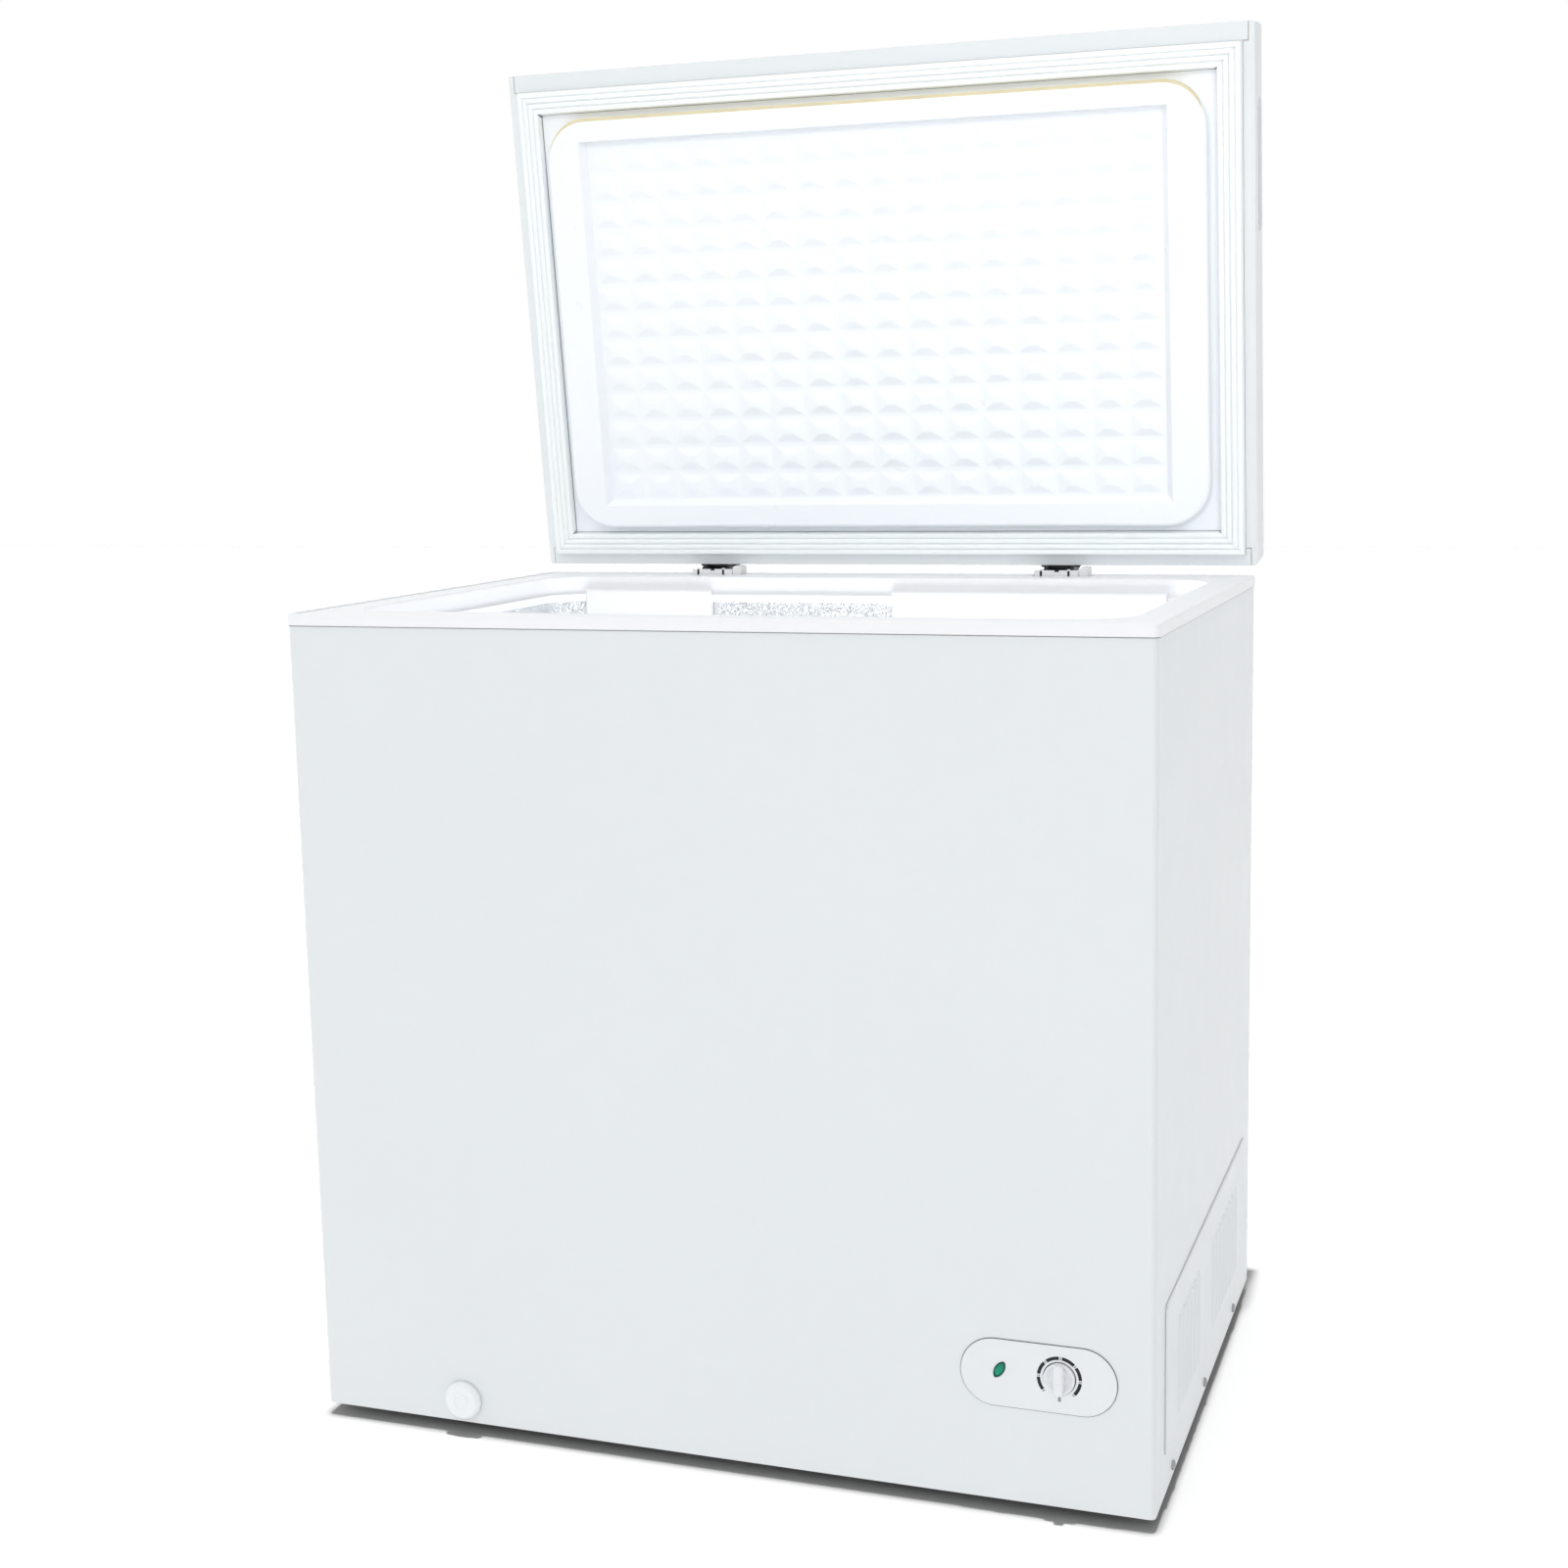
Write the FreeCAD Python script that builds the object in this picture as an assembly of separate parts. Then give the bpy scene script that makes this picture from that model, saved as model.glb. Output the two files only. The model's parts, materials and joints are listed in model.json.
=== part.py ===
import FreeCAD, Part
import math
import os
from FreeCAD import Vector

# Chest freezer, 845 mm high when shut, drawn in millimetres with +Z up and the front towards -Y.
# Everything is drawn about the middle of the cabinet on the floor, with the lid shut, and the
# lid's pieces are then swung open about the hinge pins. Last, the whole is moved so that the
# origin is the middle of the open freezer's own box, on the floor.

# ---- Driving dimensions -------------------------------------------------------------------
rimWidth = 810.0        # top collar, left to right
rimDepth = 560.0        # top collar, front to back
rimTop = 780.0          # height of the collar's outer bead
rimSide = 11.0          # height of the collar's outer face
rimOverhang = 1.5       # how far the collar stands out past the steel wrap
cabinetBottom = 12.0    # underside of the steel wrap
sheet = 0.8             # steel sheet
linerSheet = 1.0        # embossed aluminium liner
collarWall = 3.0        # moulded plastic

openHalfX = 370.0       # mouth of the collar
openHalfY = 231.0
openRadius = 48.0
skirtDepth = 29.0       # how far the collar's skirt hangs down inside
linerFloor = 68.0       # top of the liner's floor
stepX = 178.0           # the liner's step over the compressor starts here
stepTop = 250.0
bayX = 222.0            # the compressor bay's wall
bayTop = 205.0

lidWidth = 812.0
lidDepth = 542.0
lidThickness = 54.0
lidGap = 11.0           # between the shut lid's flange and the collar's bead
lidOpenAngle = 83.4     # from shut to the position that the freezer is stored in
hingeY = 274.0          # hinge pins
hingeZ = 780.5
hingeX = 197.0          # each hinge is this far from the middle
lidRear = hingeY - 7.6  # rear edge of the shut lid

gasketHeight = 10.2
gasketWidth = 25.0
gasketSide = 11.5       # from the lid's edges to the gasket
gasketFront = 18.0
plugHeight = 17.0       # how far the lid's liner stands proud of its flange
trayDepth = 9.0
pyramidColumns = 16
pyramidRows = 13

panelX = 302.0          # control panel on the front
panelZ = 128.6
panelWidth = 138.0
panelHeight = 61.0
knobX = 320.8
knobZ = 130.2
knobRadius = 13.9
lampX = 267.9
lampZ = 131.8
drainX = -255.5
drainZ = 34.0
drainRadius = 18.5

# ---- Values worked out from them ----------------------------------------------------------
wrapHalfX = rimWidth / 2 - rimOverhang
wrapHalfY = rimDepth / 2 - rimOverhang
wrapTop = rimTop - collarWall
foamHalfX = wrapHalfX - sheet
foamHalfY = wrapHalfY - sheet
linerHalfX = openHalfX + 1.0
linerHalfY = openHalfY + 1.0
linerTop = rimTop - skirtDepth
lidUnder = rimTop + lidGap
lidTop = lidUnder + lidThickness
lidFront = lidRear - lidDepth
lidHalfX = lidWidth / 2
xAxis = Vector(1, 0, 0)
yAxis = Vector(0, 1, 0)
zAxis = Vector(0, 0, 1)
hinges = {"left": -hingeX, "right": hingeX}

parts = {}              # node name to shape, as drawn with the lid shut
lidNodes = []           # the nodes that swing with the lid


def box(x0, x1, y0, y1, z0, z1):
    return Part.makeBox(x1 - x0, y1 - y0, z1 - z0, Vector(x0, y0, z0))


def rod(start, axis, radius, length):
    return Part.makeCylinder(radius, length, Vector(*start), axis)


def ringOf(start, axis, outer, inner, length):
    return rod(start, axis, outer, length).cut(rod(start, axis, inner, length))


def prism(x0, x1, y0, y1, z0, z1, radius):
    """Upright block with rounded vertical corners."""
    block = box(x0, x1, y0, y1, z0, z1)
    upright = [e for e in block.Edges if abs(e.tangentAt(e.FirstParameter).z) > 0.99]
    return block.makeFillet(radius, upright)


def slotPrism(centre, axis, halfLength, radius, length, along):
    """Flat-sided bar with round ends: a stadium pushed along axis."""
    side = axis.cross(along)
    a = centre + along * (halfLength - radius)
    b = centre - along * (halfLength - radius)
    points = [a + side * radius, b + side * radius, b - side * radius, a - side * radius]
    edges = [Part.LineSegment(points[0], points[1]).toShape(),
             Part.Arc(points[1], b - along * radius, points[2]).toShape(),
             Part.LineSegment(points[2], points[3]).toShape(),
             Part.Arc(points[3], a + along * radius, points[0]).toShape()]
    return Part.Face(Part.Wire(edges)).extrude(axis * length)


def tube(points, radius, bend):
    """Round bar along straight runs joined by tangent arcs."""
    points = [Vector(*p) for p in points]
    edges = []
    last = points[0]
    for before, corner, after in zip(points, points[1:], points[2:]):
        into = (corner - before).normalize()
        out = (after - corner).normalize()
        half = into.getAngle(out) / 2
        reach = bend * math.tan(half)
        start = corner - into * reach
        end = corner + out * reach
        middle = corner + (out - into).normalize() * (bend / math.cos(half) - bend)
        edges += [Part.LineSegment(last, start).toShape(), Part.Arc(start, middle, end).toShape()]
        last = end
    edges.append(Part.LineSegment(last, points[-1]).toShape())
    path = Part.Wire(edges)
    ring = Part.Wire([Part.makeCircle(radius, points[0], points[1] - points[0])])
    return path.makePipeShell([ring], True, False)


def joined(shapes):
    whole = shapes[0].multiFuse(shapes[1:]) if len(shapes) > 1 else shapes[0]
    return whole.removeSplitter()


def grouped(shapes):
    return Part.makeCompound(shapes)


def softened(shape, radius, picks):
    edges = [e for e in shape.Edges if picks(e)]
    return shape.makeFillet(radius, edges)


def atHeight(z, size=1e-3):
    return lambda e: abs(e.BoundBox.ZMin - z) < size and abs(e.BoundBox.ZMax - z) < size


def panHead(x, y, z, axis, headRadius, headHeight, shankRadius, shankLength):
    """Screw with a domed head; axis points out of the head, and (x, y, z) is under the head."""
    under = Vector(x, y, z)
    head = Part.makeCylinder(headRadius, headHeight, under, axis)
    top = under + axis * headHeight
    head = softened(head, headHeight * 0.6, lambda e: (e.CenterOfMass - top).Length < 1e-3)
    shank = Part.makeCylinder(shankRadius, shankLength, under - axis * shankLength, axis)
    recess = headHeight * 0.5
    cross = []
    for along in (axis.cross(Vector(0.3, 0.5, 0.8)).normalize(), None):
        along = along or axis.cross(cross[0][1])
        side = axis.cross(along)
        long, wide = headRadius * 0.55, headRadius * 0.14
        corners = [top + along * long * a + side * wide * b - axis * recess
                   for a, b in ((1, 1), (-1, 1), (-1, -1), (1, -1), (1, 1))]
        cross.append((Part.Face(Part.makePolygon(corners)).extrude(axis * headHeight), along))
    return head.fuse(shank).cut(cross[0][0]).cut(cross[1][0])


# ---- Cabinet shell ------------------------------------------------------------------------
def outerWrap():
    """One steel sheet bent round the front and both sides, open at the back."""
    outer = prism(-wrapHalfX, wrapHalfX, -wrapHalfY, wrapHalfY + 20, cabinetBottom, wrapTop, 5.0)
    inner = prism(-foamHalfX, foamHalfX, -foamHalfY, wrapHalfY + 30, cabinetBottom, wrapTop, 4.2)
    wrap = outer.cut(inner).cut(box(-500, 500, wrapHalfY - sheet, 600, 0, 900))
    flange = box(-foamHalfX + 4, foamHalfX - 4, -foamHalfY, -foamHalfY + 14, cabinetBottom,
                 cabinetBottom + sheet)
    wrap = wrap.fuse(flange)
    front = Vector(panelX, -wrapHalfY - 1, panelZ)
    wrap = wrap.cut(slotPrism(front, yAxis, panelWidth / 2 - 6, panelHeight / 2 - 6, 4, xAxis))
    wrap = wrap.cut(rod((drainX, -wrapHalfY - 1, drainZ), yAxis, 9.2, 4))
    for y in sideScrewYs:
        wrap = wrap.cut(rod((wrapHalfX - 2, y, sideScrewZ), xAxis, 2.2, 4))
    for y in louvreYs:
        slot = slotPrism(Vector(wrapHalfX - 2, y, louvreZ), xAxis, louvreHalf, louvreWidth / 2, 4, zAxis)
        wrap = wrap.cut(slot)
    return wrap.fuse(embossedRib()).removeSplitter()


sideScrewYs = [-193.0, -16.0, 170.5]
sideScrewZ = 22.0
louvreHalf = 45.0       # upright slots over the compressor bay, in a front and a rear group
louvreWidth = 3.6
louvreZ = 103.0
louvrePitch = 21.0
louvreYs = [-155.0 + louvrePitch * i for i in range(6)] + [40.0 + louvrePitch * i for i in range(8)]


def embossedRib():
    """The raised line that stiffens the right side round the compressor bay."""
    line = box(wrapHalfX - 0.4, wrapHalfX + 0.9, -232, 236, 182.0, 185.0)
    post = box(wrapHalfX - 0.4, wrapHalfX + 0.9, -232, -229, 50.0, 185.0)
    return line.fuse(post)


def rearPanel():
    """Flat steel back, notched under each hinge and open over the compressor bay."""
    back = box(-foamHalfX, foamHalfX, foamHalfY, wrapHalfY, cabinetBottom, wrapTop)
    for x in hinges.values():
        back = back.cut(box(x - 28, x + notchRight + 1, foamHalfY - 1, wrapHalfY + 1, rimTop - 5.2, 900))
        for dx, z in hingeScrewPlaces:
            back = back.cut(rod((x + dx, foamHalfY - 1, z), yAxis, 2.6, 4))
    for x, z in grilleScrews:
        back = back.cut(rod((x, foamHalfY - 1, z), yAxis, 1.9, 4))
    return back.cut(box(bayX + 14, foamHalfX - 14, foamHalfY - 1, wrapHalfY + 1, 30, bayTop - 14))


hingeScrewPlaces = [(-15, 760), (15, 760), (-15, 722), (15, 722)]
cordX = bayX + 33.0
cordZ = 46.0


def rearGrille():
    """Slotted cover over the compressor bay's back."""
    x0, x1, z0, z1 = bayX + 4, foamHalfX - 4, 20, bayTop - 4
    plate = prism(x0, x1, 0, grilleSheet, z0, z1, 0.4).translate(Vector(0, wrapHalfY + 0.1, 0))
    for row in range(7):
        for column in range(4):
            centre = Vector(x0 + 27 + 40 * column, wrapHalfY - 2, z0 + 50 + 18 * row)
            plate = plate.cut(slotPrism(centre, yAxis, 15, 3, 8, xAxis))
    plate = plate.cut(rod((cordX, wrapHalfY - 2, cordZ), yAxis, glandNeck + 0.05, 8))
    for x, z in grilleScrews:
        plate = plate.cut(rod((x, wrapHalfY - 2, z), yAxis, 2.0, 8))
    return plate


grilleSheet = 1.9
glandNeck = 8.0
glandBore = 3.7         # for a lead about 7.2 mm thick
grilleScrews = [(x, z) for x in (bayX + 9, foamHalfX - 9) for z in (27, bayTop - 11)]


def bottomPlate():
    """Steel sheet under the foam, left of the compressor bay."""
    return box(-foamHalfX, bayX - 1, -foamHalfY + 14.4, foamHalfY, cabinetBottom, cabinetBottom + sheet)


def bayBase():
    """Thick pressed base that carries the compressor, with a rib along each edge."""
    z = cabinetBottom
    base = box(bayX, foamHalfX, -foamHalfY + 14.4, foamHalfY, z, z + 1.6)
    for y in (-foamHalfY + 15, foamHalfY - 3):
        base = base.fuse(box(bayX + 6, foamHalfX - 6, y, y + 1.6, z, z + 12))
    for x, y in compressorBolts:
        base = base.cut(rod((x, y, z - 1), zAxis, 4.2, 4))
    for y in (-150, -120, -90, -60):
        base = base.cut(slotPrism(Vector(bayX + 88, y, z - 1), zAxis, 45, 4, 4, xAxis))
    return base.removeSplitter()


def bayHousing():
    """Bent sheet that closes the foam off from the compressor bay: one wall and a roof."""
    wall = box(bayX, bayX + sheet, -foamHalfY, foamHalfY, cabinetBottom + 1.7, bayTop)
    roof = prism(-foamHalfX, foamHalfX, -foamHalfY, foamHalfY, bayTop - sheet, bayTop, 4.2)
    return wall.fuse(roof.cut(box(-500, bayX, -400, 400, 0, 900))).removeSplitter()


def linerBlock(grow):
    """The storage space grown outward by some thickness; used for the liner and its foam."""
    block = box(-linerHalfX - grow, linerHalfX + grow, -linerHalfY - grow, linerHalfY + grow,
                linerFloor - grow, linerTop)
    upright = [e for e in block.Edges if abs(e.tangentAt(e.FirstParameter).z) > 0.99]
    block = block.makeFillet(42.0 + grow, upright)
    step = box(stepX - grow, 500, -400, 400, 0, stepTop - grow)
    return block.cut(step)


def innerLiner():
    """Embossed aluminium tank with a step over the compressor bay."""
    tank = linerBlock(linerSheet).cut(linerBlock(0).fuse(linerBlock(0).translate(Vector(0, 0, 5))))
    return tank.cut(rod((drainX, 0, linerFloor - 3), zAxis, 11.0, 6))


def collar():
    """Moulded collar: outer lip, sunken land for the lid's seal, skirt, and raised skirt pads."""
    body = prism(-rimWidth / 2, rimWidth / 2, -rimDepth / 2, rimDepth / 2, rimTop - rimSide, rimTop, 7.0)
    body = softened(body, 2.4, atHeight(rimTop))
    body = body.cut(prism(-wrapHalfX, wrapHalfX, -wrapHalfY, wrapHalfY, rimTop - rimSide - 1, wrapTop, 5.0))
    body = body.cut(box(-wrapHalfX, wrapHalfX, wrapHalfY - 9, wrapHalfY, rimTop - rimSide - 1, wrapTop))
    bead = 5.0
    land = prism(-rimWidth / 2 + bead, rimWidth / 2 - bead, -rimDepth / 2 + bead, rimDepth / 2 - bead,
                 rimTop - 1.2, rimTop + 1, 4.0)
    body = body.cut(land)
    skirt = prism(-openHalfX - collarWall, openHalfX + collarWall, -openHalfY - collarWall,
                  openHalfY + collarWall, linerTop, wrapTop + 1, openRadius + collarWall)
    mouth = prism(-openHalfX, openHalfX, -openHalfY, openHalfY, linerTop - 1, rimTop + 1, openRadius)
    band = prism(-openHalfX, openHalfX, -openHalfY, openHalfY, linerTop, linerTop + 8, openRadius)
    narrow = prism(-openHalfX + 3, openHalfX - 3, -openHalfY + 3, openHalfY - 3, linerTop - 1,
                   linerTop + 9, openRadius - 3)
    body = body.fuse(skirt).cut(mouth).fuse(band.cut(narrow))
    body = softened(body, 1.6, lambda e: atHeight(rimTop - 1.2)(e) and insideMouth(e))
    for x0, x1 in skirtPads:
        pad = box(x0, x1, openHalfY - 7.0, openHalfY + 0.5, linerTop - 21, rimTop - 16)
        pad = softened(pad, 2.0, lambda e: abs(e.BoundBox.YMax - (openHalfY - 7.0)) < 1e-3)
        body = body.fuse(pad.common(box(-500, 500, 0, openHalfY + 0.5, 0, 900)))
    for x in hinges.values():
        pocket = box(x - 30, x + notchRight + 3, hingeY - 14, wrapHalfY - sheet - 0.2, rimTop - 8, rimTop - 3)
        well = box(x - 27, x + notchRight, hingeY - 11, rimDepth / 2 + 1, rimTop - 5, rimTop + 1)
        lip = box(x - 27, x + notchRight, wrapHalfY - sheet - 0.3, rimDepth / 2 + 1, rimTop - 30, rimTop + 1)
        body = body.fuse(pocket).cut(well).cut(lip)
    return body.removeSplitter()


skirtPads = [(-335.0, -184.0), (25.0, 322.0)]


def insideMouth(e):
    b = e.BoundBox
    return max(abs(b.XMin), abs(b.XMax)) < openHalfX + 1 and max(abs(b.YMin), abs(b.YMax)) < openHalfY + 1


# ---- Cooling circuit ----------------------------------------------------------------------
def coilRoute(halfX, halfY, levels, drop):
    """Turns wound round the tank: each turn is level, and the back run climbs to the next."""
    route = [(-halfX + 80, halfY, levels[0])]
    for low, high in zip(levels, levels[1:] + [levels[-1] + drop]):
        route += [(-halfX, halfY, low), (-halfX, -halfY, low), (halfX, -halfY, low),
                  (halfX, halfY, low), (halfX - 90, halfY, low), (-halfX + 160, halfY, high)]
    return route[:-1]


tubeRadius = 3.2
evaporatorLevels = [290 + 62 * i for i in range(7)]
condenserLevels = [270 + 88 * i for i in range(5)]


def evaporatorTube(radius=tubeRadius):
    reach = linerSheet + tubeRadius + 0.15
    return tube(coilRoute(linerHalfX + reach, linerHalfY + reach, evaporatorLevels, 0), radius, 40)


def condenserTube(radius=2.4):
    reach = 2.4 + 0.15
    return tube(coilRoute(foamHalfX - reach, foamHalfY - reach, condenserLevels, 0), radius, 12)


def drainTube(outer=9.0):
    """Elbow from the tank's floor to the front panel."""
    route = [(drainX, 0, linerFloor - 1.2), (drainX, 0, drainZ), (drainX, -wrapHalfY, drainZ)]
    whole = tube(route, outer, 14)
    if outer > 9.0:
        return whole
    bore = [(drainX, 0, linerFloor + 3), (drainX, 0, drainZ), (drainX, -wrapHalfY - 3, drainZ)]
    return whole.cut(tube(bore, 7.0, 14))


def cabinetFoam():
    """Foamed-in insulation between the wrap and the tank, with channels for the tubes."""
    foam = prism(-foamHalfX, foamHalfX, -foamHalfY, foamHalfY, cabinetBottom + sheet + 0.05,
                 wrapTop - 0.05, 4.2)
    foam = foam.cut(box(-500, 500, -foamHalfY, -foamHalfY + 14.2, 0, cabinetBottom + sheet * 2))
    foam = foam.cut(linerBlock(linerSheet))
    foam = foam.cut(prism(-openHalfX - collarWall, openHalfX + collarWall, -openHalfY - collarWall,
                          openHalfY + collarWall, linerTop, 900, openRadius + collarWall))
    foam = foam.cut(box(bayX, 500, -400, 400, 0, bayTop))
    for x in hinges.values():
        foam = foam.cut(box(x - 31, x + notchRight + 4, hingeY - 15, 400, rimTop - 8.1, 900))
        foam = foam.cut(box(x - 27.1, x + 27.1, foamHalfY - 2.2, 400, 707.9, rimTop - 11.9))
        for dx, z in hingeScrewPlaces:
            foam = foam.cut(rod((x + dx, foamHalfY - 12, z), yAxis, 2.3, 20))
    foam = foam.cut(evaporatorTube(tubeRadius + 0.1)).cut(condenserTube(2.5)).cut(drainTube(9.1))
    return foam.cut(rod((drainX, 0, linerFloor - 3), zAxis, 9.1, 5)).removeSplitter()


compressorX = 312.0
compressorY = 110.0
compressorBolts = [(compressorX + 52 * a, compressorY + 70 * b) for a in (-1, 1) for b in (-1, 1)]
padTop = cabinetBottom + 1.6 + 12.0


def compressorShell():
    """Welded pressed-steel can: two domed halves with a seam, on its foot plate."""
    base = padTop + 4.0
    can = Part.makeCylinder(58, 128, Vector(compressorX, compressorY, base + 3), zAxis)
    can = softened(can, 26, lambda e: atHeight(base + 131)(e) or atHeight(base + 3)(e))
    seam = Part.makeCylinder(61, 5, Vector(compressorX, compressorY, base + 62), zAxis)
    stubs = [rod((compressorX - 50, compressorY + 20, base + 92), Vector(-1, 0.3, 0.2), 4.2, 18),
             rod((compressorX - 20, compressorY + 50, base + 88), Vector(-0.3, 1, 0.1), 4.2, 22),
             rod((compressorX + 18, compressorY + 50, base + 92), Vector(0.3, 1, 0.2), 4.2, 20)]
    return joined([can, seam] + stubs)


def compressorFeet():
    z = padTop
    plate = prism(compressorX - 64, compressorX + 64, compressorY - 84, compressorY + 84, z, z + 2.6, 12)
    waist = ringOf((compressorX, compressorY, z + 2.6), zAxis, 44, 36, 6)
    plate = plate.fuse(waist.cut(compressorShell()))
    for x, y in compressorBolts:
        plate = plate.cut(rod((x, y, z - 1), zAxis, 5.2, 6))
    return plate.removeSplitter()


def compressorGrommets():
    """Rubber bushes between the compressor's feet and the base."""
    made = []
    for x, y in compressorBolts:
        low = ringOf((x, y, cabinetBottom + 1.6), zAxis, 12, 4.2, 12)
        neck = ringOf((x, y, padTop), zAxis, 5.1, 4.2, 2.6)
        lip = ringOf((x, y, padTop + 2.6), zAxis, 9, 4.2, 2.4)
        made.append(joined([low, neck, lip]))
    return grouped(made)


def compressorBoltSet():
    made = []
    for x, y in compressorBolts:
        top = padTop + 5.0
        head = hexagon(x, y, top, 6.5, 4.5)
        washer = rod((x, y, top), zAxis, 8.5, 1.2)
        shank = rod((x, y, cabinetBottom + 0.2), zAxis, 4.0, top - cabinetBottom)
        made.append(joined([head.translate(Vector(0, 0, 1.2)), washer, shank]))
    return grouped(made)


def hexagon(x, y, z, radius, height):
    corners = [Vector(x + radius * math.cos(a), y + radius * math.sin(a), z)
               for a in [math.pi / 3 * i for i in range(7)]]
    return Part.Face(Part.makePolygon(corners)).extrude(zAxis * height)


def relayCover():
    """Box over the compressor's terminals, with a wire clip round it."""
    x0 = compressorX + 60.5
    box0 = box(x0, x0 + 22, compressorY - 30, compressorY + 26, padTop + 44, padTop + 96)
    return softened(box0, 4, lambda e: e.BoundBox.XMin > x0 + 18).cut(
        Part.makeCylinder(61.4, 200, Vector(compressorX, compressorY, 0), zAxis))


def filterDrier():
    """Copper filter between the condenser and the capillary."""
    start = Vector(bayX + 24, -40, 60)
    barrel = Part.makeCylinder(9, 70, start, zAxis)
    barrel = softened(barrel, 6, lambda e: atHeight(60)(e) or atHeight(130)(e))
    return joined([barrel, rod((start.x, start.y, 48), zAxis, 3.2, 96)])


def suctionPipe():
    x, y, z = compressorX - 20, compressorY + 50, padTop + 4 + 88
    tip = Vector(-0.3, 1, 0.1).normalize() * 24 + Vector(x, y, z)
    return tube([tuple(tip), tuple(tip + Vector(-9, 30, 3)), (compressorX - 62, 190, z + 34),
                 (bayX + 22, 214, z + 34), (bayX + 22, 214, bayTop - 1.2)], 3.2, 9)


def dischargePipe():
    x, y, z = compressorX - 50, compressorY + 20, padTop + 4 + 92
    tip = Vector(-1, 0.3, 0.2).normalize() * 19.5 + Vector(x, y, z)
    return tube([tuple(tip), tuple(tip + Vector(-9, 2.7, 1.8)), (bayX + 9.5, 60, z + 40),
                 (bayX + 9.5, -40, z + 40), (bayX + 9.5, -90, bayTop - 14),
                 (bayX + 9.5, -120, bayTop - 14)], 2.4, 5)


def capillaryTube():
    """Thin copper coil and its tails, from the filter towards the tank."""
    x = bayX + 24
    return tube([(x, -40, 144.2), (x, -40, 164), (x, -60, 176), (x, -110, 176),
                 (x + 40, -110, 176), (x + 40, -60, 176), (x + 40, -60, bayTop - 1.2)], 1.2, 8)


def cordGland():
    """Strain relief where the mains lead would enter; its bore is left empty."""
    inner = wrapHalfY + 0.05
    outer = wrapHalfY + grilleSheet + 0.15
    neck = rod((cordX, inner, cordZ), yAxis, glandNeck, outer - inner)
    catch = Part.makeCone(8.4, 10, 5, Vector(cordX, inner - 5, cordZ), yAxis)
    head = rod((cordX, outer, cordZ), yAxis, 11, 3)
    nose = Part.makeCone(8.5, 6.5, 12, Vector(cordX, outer + 3, cordZ), yAxis)
    return joined([catch, neck, head, nose]).cut(rod((cordX, inner - 6, cordZ), yAxis, glandBore, 40))


# ---- Controls and drain -------------------------------------------------------------------
def controlBezel():
    """Flat stadium plate set into the front, with a well for the knob and a hole for the lamp."""
    y = -wrapHalfY
    plate = slotPrism(Vector(panelX, y - 1.6, panelZ), yAxis, panelWidth / 2, panelHeight / 2, 1.6, xAxis)
    plate = plate.makeFillet(0.9, [e for e in plate.Edges if abs(e.BoundBox.YMax - (y - 1.6)) < 1e-3])
    start = Vector(panelX, y, panelZ)
    tail = slotPrism(start, yAxis, panelWidth / 2 - 7, panelHeight / 2 - 7, 9, xAxis)
    hollow = slotPrism(start + yAxis, yAxis, panelWidth / 2 - 9, panelHeight / 2 - 9, 9, xAxis)
    bezel = plate.fuse(tail.cut(hollow))
    bezel = bezel.cut(rod((knobX, y - 2, knobZ), yAxis, knobRadius + 0.6, 1.4))
    bezel = bezel.cut(rod((knobX, y - 3, knobZ), yAxis, 5.0, 6))
    return bezel.cut(lampOutline(y - 3, 6, 0.15)).removeSplitter()


def lampOutline(y, length, grow):
    """Leaning oval of the indicator lamp."""
    oval = Part.Ellipse(Vector(0, 0, 0), 8.2 + grow, 4.3 + grow).toShape()
    bar = Part.Face(Part.Wire([oval])).extrude(zAxis * length)
    bar.rotate(Vector(0, 0, 0), zAxis, -60)
    bar.rotate(Vector(0, 0, 0), xAxis, -90)
    return bar.translate(Vector(lampX, y, lampZ))


def lampLens():
    y = -wrapHalfY
    lens = lampOutline(y - 2.6, 6.0, 0)
    return lens.makeFillet(1.0, [e for e in lens.Edges if abs(e.BoundBox.YMax - (y - 2.6)) < 1e-3])


def lampHolder():
    y = -wrapHalfY + 3.5
    return ringOf((lampX, y, lampZ), yAxis, 11, 9.2, 12).fuse(rod((lampX, y + 10, lampZ), yAxis, 9.4, 3))


def knob():
    """Dial with a straight grip bar across it and a skirt that sits in the bezel's well."""
    y = -wrapHalfY
    face = y - dialRise
    top = y - gripRise
    disc = rod((knobX, face, knobZ), yAxis, knobRadius, dialRise - 0.7)
    disc = disc.makeFillet(0.9, [e for e in disc.Edges if abs(e.BoundBox.YMax - face) < 1e-3])
    grip = slotPrism(Vector(knobX, top, knobZ), yAxis, knobRadius + 0.6, 4.2, gripRise - 3, zAxis)
    grip = grip.makeFillet(1.5, [e for e in grip.Edges if abs(e.BoundBox.YMax - top) < 1e-3])
    stem = rod((knobX, y - 1, knobZ), yAxis, 4.4, 7)
    dial = joined([disc, grip, stem])
    return dial.cut(rod((knobX, y + 0.5, knobZ), yAxis, 3.05, 20))


dialRise = 4.4          # the dial's rim and its grip bar, in front of the steel
gripRise = 9.0


def thermostat():
    """Thermostat box behind the panel, with its shaft forward."""
    y = -wrapHalfY
    case = box(knobX - 20, knobX + 20, y + 14, y + 40, knobZ - 17, knobZ + 17)
    case = softened(case, 2.5, lambda e: e.BoundBox.YMin > y + 36)
    collarRing = rod((knobX, y + 7, knobZ), yAxis, 5.8, 8)
    shaft = rod((knobX, y + 1.2, knobZ), yAxis, 3.0, 10)
    tabs = box(knobX - 28, knobX + 28, y + 14, y + 15.4, knobZ - 6, knobZ + 6)
    return joined([case, collarRing, shaft, tabs])


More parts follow.
